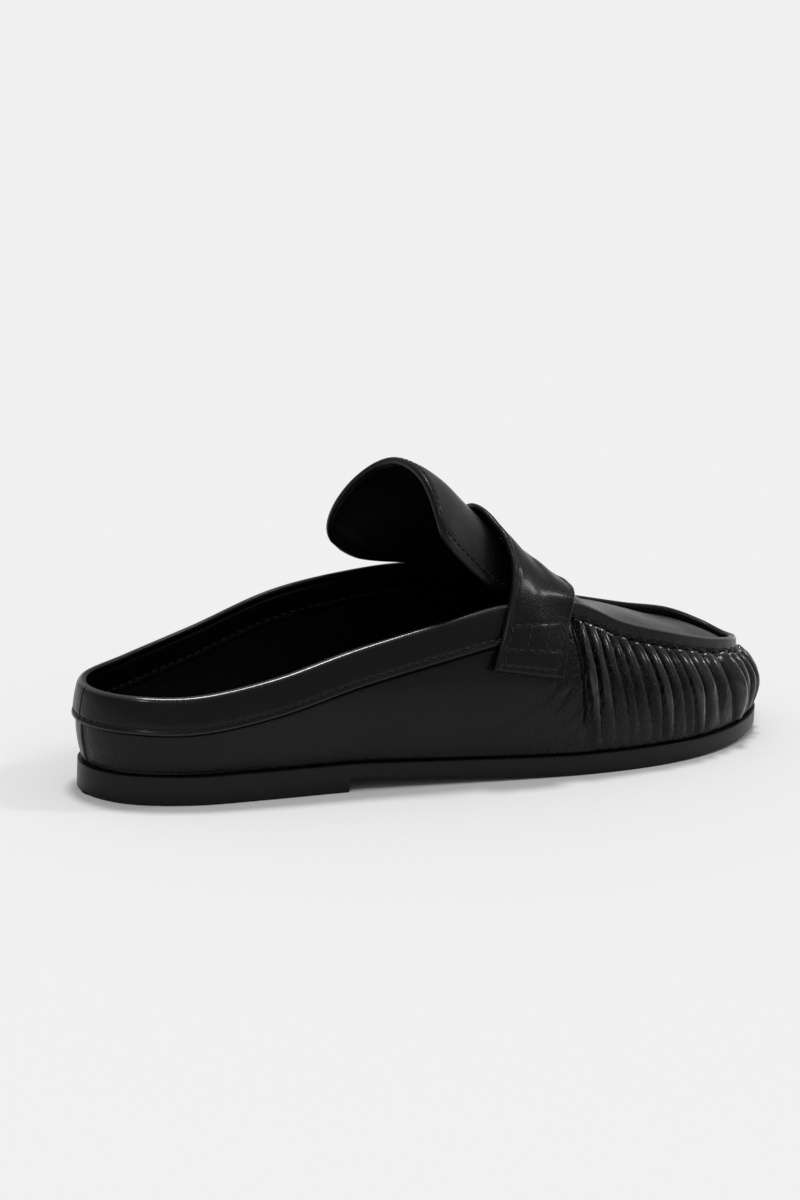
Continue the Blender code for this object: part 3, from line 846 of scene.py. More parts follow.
@dataclass
class Bench:
    """Shapes meshes on surfaces and puts the finished pieces in the scene."""

    wardrobe: Wardrobe
    count: int = 0

    @staticmethod
    def sheet(bm: bmesh.types.BMesh, surface: Surface, steps: tuple[int, int],
              marks: dict[str, Relief] | None = None) -> None:
        """Add a grid that lies on a surface.

        Args:
            bm: Mesh that the grid is added to.
            surface: Points for shares a and c between 0 and 1.
            steps: Faces along a and along c.
            marks: Numbers to keep on the points, by attribute name.
        """
        layers = {name: bm.verts.layers.float.get(name) or bm.verts.layers.float.new(name) for name in marks or {}}
        made = bmesh.ops.create_grid(bm, x_segments=steps[0], y_segments=steps[1], size=1.0)["verts"]
        grid = np.array([v.co for v in made])
        a, c = (grid[:, 0] + 1) / 2, (grid[:, 1] + 1) / 2
        for v, point in zip(made, surface(a, c)):
            v.co = point
        for name, mark in (marks or {}).items():
            for v, number in zip(made, mark(a, c)):
                v[layers[name]] = float(number)

    def leaf(self, bm: bmesh.types.BMesh, surface: Surface, steps: tuple[int, int], thickness: float,
             reach: tuple[float, float], lift: float = 0.0, relief: Relief | None = None) -> None:
        """Add a sheet of leather with two faces and rounded edges.

        Args:
            bm: Mesh that the sheet is added to.
            surface: Points for shares a and c between 0 and 1.
            steps: Faces along a and along c on each side.
            thickness: Thickness of the sheet.
            reach: Real lengths along a and along c, which place the rounding.
            lift: How far the middle of the thickness lies above the surface.
            relief: Extra height at each pair of shares.
        """
        def spread(share: Array) -> Array:
            """Shares drawn together towards both edges."""
            return 0.42 * share + 0.58 * (1 - np.cos(math.pi * share)) / 2

        for face in (1.0, -1.0):
            def shaped(a: Array, c: Array, face: float = face) -> Array:
                """Points of one face of the sheet."""
                a, c = spread(a), spread(c)
                edge = np.minimum(np.minimum(a, 1 - a) * reach[0], np.minimum(c, 1 - c) * reach[1])
                near = 1 - np.clip(edge / (0.55 * thickness), 0, 1)
                half = 0.5 * thickness * np.sqrt(np.clip(1 - near**2, 0, 1))
                up = lift + face * half + (relief(a, c) if relief else 0.0)
                inner_a, inner_c = np.clip(a, 0.004, 0.996), np.clip(c, 0.004, 0.996)
                return surface(a, c) + facing(surface, inner_a, inner_c) * np.asarray(up)[:, None]
            self.sheet(bm, shaped, steps)

    def show(self, name: str, bm: bmesh.types.BMesh, finish: Finish, slot: str, nodes: Sequence[str] = (),
             closed: bool = True, inwards: bool = False) -> bpy.types.Object:
        """Weld a mesh and place it in the scene as a finished piece.

        Args:
            name: Name of the piece.
            bm: Its mesh, in the shoe's frame.
            finish: What it is made of.
            slot: Name of a material slot; not used.
            nodes: Solid nodes that it stands for.
            closed: Whether the mesh is a closed skin.
            inwards: Whether an open sheet faces the inside of the shoe.

        Returns:
            The piece.
        """
        bmesh.ops.remove_doubles(bm, verts=bm.verts, dist=2e-6)
        if closed:
            bmesh.ops.recalc_face_normals(bm, faces=bm.faces)
        else:
            bm.normal_update()
            core = Vector((0.08, 0.0, 0.02))
            total = sum(f.normal.dot((f.calc_center_median() - core).normalized()) for f in bm.faces)
            if (total < 0) != inwards:
                bmesh.ops.reverse_faces(bm, faces=bm.faces)
        piece = add_mesh(name, bm)
        piece.data.shade_smooth()
        piece.data.materials.append(self.wardrobe.get(finish))
        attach(piece, "root")
        if nodes:
            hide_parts(*nodes)
        self.count += 1
        LOG.info("%s: %d faces", name, len(piece.data.polygons))
        return piece


@dataclass
class Stitcher:
    """Sews rows of single stitches along paths."""

    bench: Bench
    pitch: float = 0.0031
    length: float = 0.0025
    thread: float = 0.00062
    seed: int = 5

    def row(self, bm: bmesh.types.BMesh, path: Array, normals: Array, pitch: float | None = None,
            thread: float | None = None) -> None:
        """Add one row of stitches.

        Args:
            bm: Mesh that the stitches are added to.
            path: Points along the row, on the leather.
            normals: The leather's normals at the points.
            pitch: Distance from stitch to stitch, or the stitcher's own.
            thread: Thickness of the thread, or the stitcher's own.
        """
        pitch, thread = pitch or self.pitch, thread or self.thread
        length = self.length * pitch / self.pitch
        rng = np.random.default_rng(self.seed + len(path))
        run = run_along(path)
        count = max(1, int(run[-1] / pitch))
        for k in range(count):
            middle = (k + 0.5) * run[-1] / count
            at, ahead, behind = (np.array([np.interp(middle + d, run, path[:, i]) for i in range(3)])
                                 for d in (0.0, 0.3 * pitch, -0.3 * pitch))
            up = unit(np.array([[np.interp(middle, run, normals[:, i]) for i in range(3)]]))[0]
            tangent = unit((ahead - behind)[None])[0]
            across = np.cross(up, tangent)
            tangent = unit((tangent + across * 0.07 * rng.uniform(-1, 1))[None])[0]
            across = unit(np.cross(up, tangent)[None])[0]
            up = np.cross(tangent, across)
            frame = Matrix((
                (*(tangent * length / 2),), (*(across * thread / 2),), (*(up * thread * 0.5),))).transposed().to_4x4()
            frame.translation = Vector(at + up * thread * 0.12)
            bmesh.ops.create_uvsphere(bm, u_segments=8, v_segments=5, radius=1.0,
                                      matrix=frame @ Matrix.Rotation(math.pi / 2, 4, "Y"))

    def finish(self, name: str, bm: bmesh.types.BMesh, slot: str) -> bpy.types.Object:
        """Place the stitches sewn so far as one piece."""
        return self.bench.show(name, bm, Finish.THREAD, slot)


@dataclass
class SoleUnit:
    """Outsole and heel block as the one rubber unit that shows outside, and the insole."""

    last: Last
    bench: Bench
    columns: int = 620
    heel_taper: float = 0.0006
    spring_taper: float = 0.0003

    def outline(self) -> Array:
        """Stations round the sole, with a pair at each end of the breast."""
        at = float(self.last.lateral_station(np.array([self.last.breast]))[0])
        pairs = [at - 0.002, at + 0.002, self.last.turn - at - 0.002, self.last.turn - at + 0.002]
        spaced = np.linspace(0, self.last.turn, self.columns - 3)
        return np.sort(np.concatenate([spaced, pairs]))

    def build(self) -> None:
        """Build the rubber unit and the insole."""
        last, stations = self.last, self.outline()
        rim = ((0.0, "low", 0.0), (0.5, "low", 0.0), (0.90, "low", 0.0), (0.985, "low", 0.0),
               (1.0, "taper", 0.0), (1.0, "taper", 0.25), (1.0, "side", 0.7), (1.0, "side", 1.5),
               (1.0, "side", 3.0), (1.0, "side", 4.5), (1.0, "top", -1.6), (1.0, "top", -0.8),
               (1.0, "top", -0.5), (1.0, "top", -0.28), (1.0, "in1", -0.1), (1.0, "in2", 0.0),
               (0.965, "top", 0.0), (0.90, "top", 0.0), (0.5, "top", 0.0), (0.0, "top", 0.0))
        inset = {"low": 0.0010, "taper": self.heel_taper, "side": 0.0, "top": 0.0, "in1": 0.00016, "in2": 0.00045}

        def surface(a: Array, c: Array) -> Array:
            """Points of the unit, from the middle of its underside round to its top."""
            u = np.interp(a, np.linspace(0, 1, len(stations)), stations)
            s, n = last.station(u), last.outward(u)
            x, y = s[:, 0], s[:, 1]
            top = last.sole_top(x)
            heel = x < last.breast
            low = np.where(heel, 0.0, last.underside(x))
            k = np.rint(c * (len(rim) - 1)).astype(int)
            share = np.array([rim[i][0] for i in k])
            kinds = np.array([rim[i][1] for i in k])
            rise = np.array([rim[i][2] for i in k]) * MM
            draw = np.array([inset[kind] for kind in kinds])
            draw = np.where((kinds == "taper") & ~heel, self.spring_taper, draw)
            from_top = np.isin(kinds, ("top", "in1", "in2"))
            z = np.where(from_top, top + rise, np.minimum(low + rise, top - 0.0020))
            z = np.where(kinds == "low", low, z)
            return last.place(x - n[:, 0] * draw * (share > 0.5), (y - n[:, 1] * draw) * share, z)

        def tread(a: Array, c: Array) -> Array:
            """1 on the flat of the underside, 0 elsewhere."""
            return (c * (len(rim) - 1) < 2.5).astype(float)

        bm = bmesh.new()
        self.bench.sheet(bm, surface, (len(stations) - 1, len(rim) - 1), {"tread": tread})
        unit_piece = self.bench.show("sole_unit", bm, Finish.RUBBER, "sole_rubber", ("outsole", "heel"))
        unit_piece.data.set_sharp_from_angle(angle=math.radians(50))
        self.build_insole()

    def build_insole(self) -> None:
        """Build the insole with its rounded edge and shallow heel cup."""
        last = self.last
        inset = last.welt_step + last.wall + last.gap + last.gap
        rim = ((0.0, 0.0), (0.4, 0.0), (0.8, 0.0), (1.0, 0.0), (1.0, 0.6), (1.0, 0.86), (0.985, 0.97), (0.95, 1.0),
               (0.85, 0.99), (0.7, 0.96), (0.5, 0.93), (0.3, 0.92), (0.0, 0.92))

        def surface(a: Array, c: Array) -> Array:
            """Points of the insole, from under its middle round its edge to the sock."""
            u = 0.02 + a * (last.turn - 0.04)
            s, n = last.station(u), last.outward(u)
            k = np.rint(c * (len(rim) - 1)).astype(int)
            share, level = np.array([rim[i] for i in k]).T
            x, y = s[:, 0] - n[:, 0] * inset, s[:, 1] - n[:, 1] * inset
            z = last.sole_top(s[:, 0]) + last.gap + level * last.insole_thickness
            return last.place(x, y * share, z)

        bm = bmesh.new()
        self.bench.sheet(bm, surface, (360, len(rim) - 1))
        self.bench.show("insole_sock", bm, Finish.LINING, "lining_leather", ("insole",))


class ProfilePoint(NamedTuple):
    """One point across the folded top edge, in millimetres."""

    out: float
    top: float
    rise: float


BAND_PROFILE = tuple(ProfilePoint(*row) for row in (
    (-0.30, 0, 1.50), (0.05, 0, 0.70), (0.10, 0, 0.15), (0.65, 0, -0.12), (1.15, 0, 0.05), (1.34, 0, 0.48),
    (1.20, 0, 1.10), (0.74, 0, 1.80), (0.98, 0, 2.55), (1.02, 0, 3.60), (0.98, 1, -4.00), (0.92, 1, -1.80),
    (0.72, 1, -0.75), (0.25, 1, -0.15), (-0.50, 1, 0.04), (-1.30, 1, -0.02), (-1.90, 1, -0.50),
    (-2.10, 1, -1.50), (-1.60, 1, -2.60), (-2.05, 1, -3.70), (-2.10, 1, -7.40), (-1.86, 1, -10.80),
    (-2.16, 1, -11.90), (-2.05, 1, -12.60), (-1.55, 1, -12.80),
))
RIM_PROFILE = tuple(ProfilePoint(*row) for row in (
    (-1.20, 0, 0.10), (-0.70, 0, 0.00), (-0.30, 0, -0.10), (0.02, 0, -0.10), (0.22, 0, 0.10), (0.28, 0, 0.50),
    (0.18, 0, 1.00), (-0.02, 0, 1.50), (0.10, 0, 2.05), (0.12, 0, 2.70), (0.08, 1, -2.40), (0.04, 1, -1.40),
    (-0.04, 1, -0.75), (-0.35, 1, -0.22), (-0.85, 1, 0.00), (-1.45, 1, 0.04), (-2.05, 1, -0.02),
    (-2.55, 1, -0.30), (-2.82, 1, -0.80), (-2.90, 1, -1.50), (-2.90, 1, -2.30), (-2.86, 1, -3.00),
    (-2.75, 1, -3.70), (-2.60, 1, -4.40), (-2.40, 1, -5.20),
))


@dataclass
class Upper:
    """Quarters, gathered vamp, collar band with standing rim, lining and plug."""

    last: Last
    gathers: Gathers
    bench: Bench
    stitcher: Stitcher
    columns: int = 900
    rows: int = 78
    quarter_share: float = 0.36
    quarter_overlap: float = 0.7
    crowding: float = 1.3
    edge_rows: int = 66
    lining_steps: tuple[int, int] = (420, 34)
    plug_steps: tuple[int, int] = (120, 70)
    plug_size: tuple[float, float] = (0.12, 0.06)
    foot_share: float = 0.04
    rise_share: float = 0.92
    foot_depth: float = 0.0030
    puff: float = 0.0007
    band_recess: float = 0.00060
    ripple: float = 0.00016
    crinkle: float = 0.00008
    fold: float = 0.00030
    seam_lip: float = 0.00014
    seam_depth: float = 0.00040
    outer_stitches: float = 0.292
    inner_stitches: float = 0.875
    collar_end: float = 6.35
    rim_thread: float = 0.00042
    scallop: float = 0.00080
    scallop_bulge: float = 0.00045
    back_notch: float = 0.00028
    edge_wave: float = 0.00012
    facing_drop: float = 0.0052
    lining_inset: float = 0.0016
    plug_turn: float = 0.0011
    plug_wave: float = 0.00030
    creases: tuple[Crease, ...] = ()
    broad: Undulation = Undulation(3)
    fine: Undulation = Undulation(7)

    def around(self, a: Array) -> Array:
        """Stations for shares a, close together at the back seam and in the gathers."""
        start = self.last.pleat_station() - self.quarter_overlap
        b = a / self.quarter_share * 2 - 1
        back = start * np.sign(b) * np.abs(b)**self.crowding
        fore = start + (self.last.turn - 2 * start) * (a - self.quarter_share) / (1 - self.quarter_share)
        return np.where(a < self.quarter_share, back, fore)

    def rise(self, c: Array) -> Array:
        """Share of the wall's height, from its foot to the band or the seam, at shares c."""
        return np.clip((c - self.foot_share) / self.rise_share, 0, 1)

    def wall_base(self, a: Array, c: Array) -> Array:
        """Outside of the wall without its relief, from under its foot to under the edge."""
        u = self.around(a)
        fore = self.last.vamp(self.last.station(u)[:, 0])
        foot = np.clip((self.foot_share - c) / self.foot_share, 0, 1) * self.foot_depth
        tuck = np.clip((c - 0.96) / 0.04, 0, 1)
        share = self.rise(c) * self.last.step_share(u) + tuck * (1 - fore) * 0.0016 / self.last.wall_height(u)
        return self.last.side(u, share, -foot - tuck * (0.0001 + 0.0016 * fore))

    def wall_relief(self, a: Array, c: Array, points: Array) -> Array:
        """Height of the gathers, folds, creases and back seam over the wall.

        Args:
            a: Shares round the shoe.
            c: Shares up the wall.
            points: The wall's points there.

        Returns:
            One height for each point.
        """
        u, tau = self.around(a), self.rise(c)
        shown = ease(0.03, 0.09, c) * (1 - ease(0.955, 0.985, c))
        height, strength = self.gathers.ridge(u, tau)
        zone = self.gathers.zone(u)
        pinch = 1 - 0.5 * ease(0.94, 1.0, tau)
        relief = self.gathers.depth * strength * (2 * height - 1) * zone * pinch
        relief += self.puff * zone * height * ease(0.70, 0.93, tau) * (1 - ease(0.955, 1, tau))
        s = self.gathers.along(u) / MM
        near = ease(-26, -2, s) * ease(-26, -2, self.gathers.table["total"] / MM - s)
        low = 1 - tau
        fore = self.last.vamp(self.last.station(u)[:, 0])
        relief -= self.band_recess * ease(0.945, 0.995, tau) * (1 - fore)
        relief += self.ripple * near * self.fine(s * 0.75 + 3 * low, tau * 3.0) * (0.25 + 0.75 * tau)
        relief += self.crinkle * near * self.fine(s * 1.9 + 5 * low, tau * 6.0 + 9)
        medial = points[:, 1] > 0
        relief += self.fold * (1 - zone) * self.broad(points[:, 0] / 0.021, points[:, 2] / 0.017 + medial * 7)
        back = (points[:, 0] < 0) * 1.0
        seam = np.abs(points[:, 1])
        relief += back * (self.seam_lip * dent(seam - 0.0011, 0.0005) - self.seam_depth * dent(seam, 0.0003))
        lateral = points[:, 1] < 0
        for crease in self.creases:
            relief += lateral * crease.relief(points)
        return relief * shown

    def wall(self, a: Array, c: Array) -> Array:
        """Outside of the wall with its relief."""
        points = self.wall_base(a, c)
        normals = self.outwards(facing(self.wall_base, a, np.clip(c, 0.06, 0.95)), a)
        return points + normals * self.wall_relief(a, c, points)[:, None]

    def wall_crest(self, a: Array, c: Array) -> Array:
        """How much of a ridge each point of the wall is."""
        u, tau = self.around(a), self.rise(c)
        height, strength = self.gathers.ridge(u, tau)
        return height * np.clip(strength, 0, 1) * self.gathers.zone(u)

    def worked(self, a: Array, c: Array) -> Array:
        """How finely creased each point of the wall is: most in the first gathers and beside the strap."""
        u, tau = self.around(a), self.rise(c)
        s, total = self.gathers.along(u) / MM, self.gathers.table["total"] / MM
        s = np.minimum(s, total - s)
        beside = ease(-40, -14, s - 26 * (tau - 0.5)) * (1 - 0.55 * ease(24, 48, s))
        return beside * (0.30 + 0.70 * ease(0.15, 0.75, tau))

    def edge(self, a: Array, c: Array) -> Array:
        """The folded collar band that turns into the standing rim round the toe."""
        u = self.around(a)
        s = self.last.station(u)
        fore = self.last.vamp(s[:, 0])
        tall = self.last.wall_height(u)
        foot = self.last.sole_top(s[:, 0]) + self.last.gap
        height, _ = self.gathers.ridge(u, np.ones_like(a))
        zone = self.gathers.zone(u)
        wave = (2 * height - 1) * zone
        low = foot + tall * self.last.step_share(u) + self.scallop * wave
        top = foot + tall
        place = c * (len(BAND_PROFILE) - 1)
        out, z = np.zeros_like(a), np.zeros_like(a)
        for profile, weight in ((BAND_PROFILE, 1 - fore), (RIM_PROFILE, fore)):
            table = np.array(profile)
            padded = np.vstack([2 * table[0] - table[1], table, 2 * table[-1] - table[-2]])
            i = np.clip(np.floor(place).astype(int), 0, len(table) - 2)
            q = spline(*(padded[i + k] for k in range(4)), (place - i)[:, None])
            out += weight * q[:, 0] * MM
            z += weight * (low + (top - low) * q[:, 1] + q[:, 2] * MM)
        near_edge = dent(z - low, 0.0016)
        out += self.scallop_bulge * wave * near_edge
        out -= self.back_notch * dent(s[:, 1], 0.00035) * (s[:, 0] < 0.01) * (c < 0.62)
        outside = 1 - ease(0.3, 0.5, np.abs(c - 0.3))
        out += self.edge_wave * self.broad(s[:, 0] / 0.016 + (s[:, 1] > 0) * 5, z / 0.011) * outside
        return self.last.side(u, (z - foot) / tall, out)

    def edge_crest(self, a: Array, c: Array) -> Array:
        """How much painted highlight and extra gloss each point of the folded edge gets: along its top and its lower
        lip.
        """
        quarter = 1 - self.last.vamp(self.last.station(self.around(a))[:, 0])
        return dent(c - 0.54, 0.055) + 0.75 * quarter * dent(c - 0.215, 0.03)

    def lining(self, a: Array, c: Array) -> Array:
        """Inside of the wall, from the insole up under the facing or the plug."""
        u = self.around(a)
        s = self.last.station(u)
        fore = self.last.vamp(s[:, 0])
        tall = self.last.wall_height(u)
        high = 1 - (self.facing_drop * (1 - fore) + (s[:, 7] + 1.2 * self.last.plug_thickness) * fore) / tall
        points = self.last.side(u, c * high, -(self.lining_inset + 0.0004 * fore))
        inner = ease(0.1, 0.5, c) * (1 - ease(0.8, 1, c))
        points[:, 2] += 0.00035 * self.broad(points[:, 0] / 0.012, points[:, 2] / 0.009) * inner
        return points

    def plug_sheet(self, a: Array, c: Array) -> Array:
        """The plug from the throat to the toe, its edges turned up into the rim."""
        throat = float(self.last.lateral_station(np.array([TONGUE_ROWS[0].crown_x * LENGTH + self.last.gap]))[0])
        across = 2 * c - 1
        points = self.last.plug(throat + (self.last.end - 0.25 - throat) * np.clip(a, 0, 1), across)
        side = ease(0.86, 1.0, np.abs(across))
        points[:, 2] -= self.plug_turn * side**2 * ease(0.02, 0.12, a)
        points[:, 2] += self.plug_wave * self.broad(points[:, 0] / 0.018, points[:, 1] / 0.015) * (1 - side)
        return points

    def build(self) -> None:
        """Build the upper's pieces and sew them."""
        bench = self.bench
        bm = bmesh.new()
        bench.sheet(bm, self.wall, (self.columns, self.rows), {"crest": self.wall_crest, "worked": self.worked})
        bench.show("quarters_and_vamp", bm, Finish.CALF, "upper_leather", ("upper",), closed=False)
        bm = bmesh.new()
        bench.sheet(bm, self.edge, (self.columns, self.edge_rows), {"crest": self.edge_crest})
        bench.show("collar_and_rim", bm, Finish.CALF, "upper_leather", closed=False)
        bm = bmesh.new()
        bench.sheet(bm, self.lining, self.lining_steps)
        bench.show("upper_lining", bm, Finish.LINING, "upper_leather", closed=False, inwards=True)
        bm = bmesh.new()
        bench.leaf(bm, self.plug_sheet, self.plug_steps, self.last.plug_thickness, self.plug_size,
                   lift=-0.5 * self.last.plug_thickness)
        bench.show("plug", bm, Finish.CALF, "upper_leather")
        self.sew()

    def sew(self) -> None:
        """Sew the collar band, its facing and the scalloped seam under the rim."""
        start = self.last.pleat_station() - self.quarter_overlap
        bm = bmesh.new()
        for side, row, pitch in ((self.outer_stitches, 1, 0.0031), (self.inner_stitches, -1, 0.0034)):
            u = np.linspace(-self.collar_end, self.collar_end, 1200)
            b = np.sign(u) * (np.abs(u) / start)**(1 / self.crowding)
            a = (b + 1) / 2 * self.quarter_share
            self.sew_row(bm, a, side, row, pitch)
        self.stitcher.finish("collar_stitches", bm, "upper_leather")
        bm = bmesh.new()
        a = np.linspace(self.quarter_share + 0.01, 0.99, 1600)
        self.sew_row(bm, a, self.outer_stitches, 1, 0.0034, self.rim_thread)
        self.stitcher.finish("rim_stitches", bm, "upper_leather")

    def sew_row(self, bm: bmesh.types.BMesh, a: Array, share: float, side: int, pitch: float,
                thread: float | None = None) -> None:
        """Add one row of stitches along the folded edge.

        Args:
            bm: Mesh that the stitches are added to.
            a: Shares round the shoe.
            share: Share across the edge's profile.
            side: 1 on the outside of the shoe, -1 on its inside.
            pitch: Distance from stitch to stitch.
            thread: Thickness of the thread, or the stitcher's own.
        """
        c = np.full_like(a, share)
        self.stitcher.row(bm, self.edge(a, c), self.outwards(facing(self.edge, a, c), a) * side, pitch, thread)

    def outwards(self, normals: Array, a: Array) -> Array:
        """Normals at shares a, turned so that they point out of the shoe."""
        along = np.einsum("ij,ij->i", normals[:, :2], self.last.outward(self.around(a)))
        return normals * np.sign(along)[:, None]


class Drape:
    """A surface laid over what it covers and smoothed, so that it spans sharp steps."""

    def __init__(self, surface: Surface, covered: Array, steps: tuple[int, int], rounds: int) -> None:
        """Sample the surface, raise it clear of what it covers and smooth it.

        Args:
            surface: Points for shares a and c between 0 and 1.
            covered: Points that the surface may not sink below, away from its ends.
            steps: Samples along a and along c.
            rounds: How often each row is smoothed along c.
        """
        self.steps = steps
        a, c = lattice(np.linspace(0, 1, steps[0]), np.linspace(0, 1, steps[1]))
        points = surface(a, c)
        middle = 1 - ease(0.42, 0.60, np.abs(2 * c - 1))
        for start in range(0, len(points), 512):
            part = points[start:start + 512]
            away = np.hypot(part[:, None, 0] - covered[None, :, 0], part[:, None, 1] - covered[None, :, 1])
            over = np.where(away < 0.0014, covered[None, :, 2], -1.0).max(axis=1)
            part[:, 2] += np.clip(over - part[:, 2], 0, 0.004) * middle[start:start + 512]
        grid = points.reshape(*steps, 3)
        for lines, times in ((grid.swapaxes(0, 1), rounds), (grid, 3)):
            for _ in range(times):
                lines[1:-1] = (lines[:-2] + 2 * lines[1:-1] + lines[2:]) / 4
        self.grid = grid

    def __call__(self, a: Array, c: Array) -> Array:
        """Points of the smoothed surface."""
        rows, columns = self.steps
        x, y = np.clip(a, 0, 1) * (rows - 1), np.clip(c, 0, 1) * (columns - 1)
        i, j = (np.clip(np.floor(v).astype(int), 0, n - 2) for v, n in ((x, rows), (y, columns)))
        f, g = (x - i)[:, None], (y - j)[:, None]
        lines = []
        for k in (-1, 0, 1, 2):
            row = np.clip(i + k, 0, rows - 1)
            lines.append(spline(*(self.grid[row, np.clip(j + m, 0, columns - 1)] for m in (-1, 0, 1, 2)), g))
        return spline(*lines, f)


@dataclass
class Tongue:
    """Tall arched tongue of two layers with a turned edge and a stitched border."""

    last: Last
    bench: Bench
    stitcher: Stitcher
    wide: float = 0.066
    tall: float = 0.052
    border: float = 0.0024
    border_lift: float = 0.00026
    edge_roll: float = 0.00012
    wave: float = 0.00025
    tuck: float = 0.0060
    noise: Undulation = Undulation(17)

    def bed(self, a: Array, c: Array) -> Array:
        """The tongue's outer surface; a runs to the tip and c across."""
        points = self.last.tongue(np.clip(a, 0, 1), np.clip(2 * c - 1, -1, 1))
        points[:, 2] -= self.tuck * ease(0.82, 1.0, c) * (1 - ease(0.26, 0.44, a))
        return points

    def relief(self, a: Array, c: Array) -> Array:
        """Border groove, turned edge and soft folds."""
        side, tip = np.minimum(c, 1 - c) * self.wide, (1 - a) * self.tall
        edge = np.minimum(side, tip)
        relief = self.border_lift * dent(edge - self.border, 0.0006) - self.edge_roll * dent(edge - 0.0011, 0.0007)
        return relief + self.wave * self.noise(a * 4.0, c * 5.0) * ease(0.002, 0.008, edge)

    def build(self) -> None:
        """Build the tongue and its stitches."""
        bm = bmesh.new()
        self.bench.leaf(bm, self.bed, (120, 130), self.last.tongue_thickness, (self.tall, self.wide),
                        lift=0.5 * self.last.tongue_thickness, relief=self.relief)
        self.bench.show("tongue_leaf", bm, Finish.CALF, "tongue_leather", ("tongue",))
        bm = bmesh.new()
        out, tip = self.border / self.wide, 1 - self.border / self.tall
        along = np.linspace(0.30, tip, 240)
        turn = np.linspace(out, 1 - out, 240)
        a = np.concatenate([along, np.full_like(turn, tip), along[::-1]])
        c = np.concatenate([np.full_like(along, out), turn, np.full_like(along, 1 - out)])
        normals, points = upright(self.bed, a, c), self.bed(a, c)
        self.stitcher.row(bm, points - normals * 0.00016, normals, 0.0029)
        self.stitcher.finish("tongue_stitches", bm, "tongue_leather")


@dataclass
class Strap:
    """Saddle strap over the instep, its ends boxed down on the side walls."""

    last: Last
    bench: Bench
    stitcher: Stitcher
    ease_under: float = 0.0004
    shoulder_lift: float = 0.0003
    rounds: int = 70
    border: float = 0.0024
    box_side: float = 0.0031
    box_rows: tuple[float, ...] = (0.0023, 0.0083, 0.0175)
    box_reach: float = 0.0185
    groove: float = 0.00024
    edge_lift: float = 0.00034
    border_groove: float = 0.00016
    box_lift: float = 0.00012
    fold: float = 0.00024
    ripple: float = 0.00012
    noise: Undulation = Undulation(23)
    table: dict = field(default_factory=dict)

    def bed(self, a: Array, c: Array) -> Array:
        """What the strap lies on; a runs from its back edge to its front edge."""
        return self.table["drape"](a, c)

    def raw_bed(self, a: Array, c: Array) -> Array:
        """The strap's bed before it is laid over the tongue and smoothed."""
        points = self.last.strap_bed(a, 2 * c - 1)
        side = np.abs(2 * c - 1)
        points[:, 2] += self.shoulder_lift * dent(side - self.last.strap_shoulder, 0.10)
        return points

    def measure(self) -> None:
        """Drape the strap, and work out its real width and its length from the ridge to an end."""
        covered = self.last.tongue(*lattice(np.linspace(0, 1, 90), np.linspace(-0.98, 0.98, 90)))
        covered = covered[covered[:, 2] > 0.045]
        self.table["drape"] = Drape(self.raw_bed, covered, (25, 221), self.rounds)
        c = np.linspace(0.0, 0.5, 400)
        line = self.bed(np.full_like(c, 0.5), c)
        run = run_along(line)
        a = np.linspace(0, 1, 50)
        width = float(np.linalg.norm(np.diff(self.bed(a, np.full_like(a, 0.1)), axis=0), axis=1).sum())
        self.table.update(c=c, run=run, width=width)

    def across(self, distance: Array) -> Array:
        """Share across at real distances from the lateral end."""
        return np.interp(distance, self.table["run"], self.table["c"])

    def relief(self, a: Array, c: Array) -> Array:
        """Turned edges, grooves under the stitches and soft folds."""
        end = np.interp(np.minimum(c, 1 - c), self.table["c"], self.table["run"])
        edge = np.minimum(a, 1 - a) * self.table["width"]
        relief = self.edge_lift * dent(edge - 0.0010, 0.0009)
        relief -= self.border_groove * dent(edge - self.border, 0.0006) * (end > 0.019)
        boxed = (end < self.box_reach) * (edge > 0.0022)
        for row in self.box_rows:
            relief -= self.groove * dent(end - row, 0.0005) * boxed
        relief -= self.groove * dent(edge - self.box_side, 0.0005) * (end < self.box_rows[-1])
        relief += self.box_lift * boxed * dent((end % 0.0095) - 0.0048, 0.003)
        folds = self.noise(a * 2.2 + c * 3.0, c * 17.0) * ease(0.010, 0.024, end)
        ripples = self.noise(a * 9.0, c * 31.0) * ease(0.0, 0.02, end)
        return relief + self.fold * folds + self.ripple * ripples

    def top(self, a: Array, c: Array) -> tuple[Array, Array]:
        """Points on the strap's face and its normals there."""
        normals = upright(self.bed, a, c)
        high = self.ease_under + self.last.strap_thickness + self.relief(a, c)
        return self.bed(a, c) + normals * high[:, None], normals

    def build(self) -> None:
        """Build the strap and its stitches."""
        self.measure()
        length = 2 * float(self.table["run"][-1])
        bm = bmesh.new()
        self.bench.leaf(bm, self.bed, (64, 260), self.last.strap_thickness, (self.table["width"], length),
                        lift=self.ease_under + 0.5 * self.last.strap_thickness, relief=self.relief)
        self.bench.show("saddle_strap", bm, Finish.CALF, "strap_leather", ("strap",))
        bm = bmesh.new()
        box = self.box_side / self.table["width"]
        low, mid, high = self.box_rows
        for mirror in (False, True):
            lines = [((d, d), (box, 1 - box)) for d in self.box_rows]
            lines += [((low, high), (box, box)), ((low, high), (1 - box, 1 - box))]
            third = (1 - 2 * box) / 3
            lines += [((mid, high), (k, k)) for k in (box + third, 1 - box - third)]
            for distances, shares in lines:
                c = self.across(np.linspace(*distances, 60))
                a = np.linspace(*shares, 60)
                self.stitcher.row(bm, *self.top(a, 1 - c if mirror else c))
        self.stitcher.finish("strap_stitches", bm, "strap_leather")


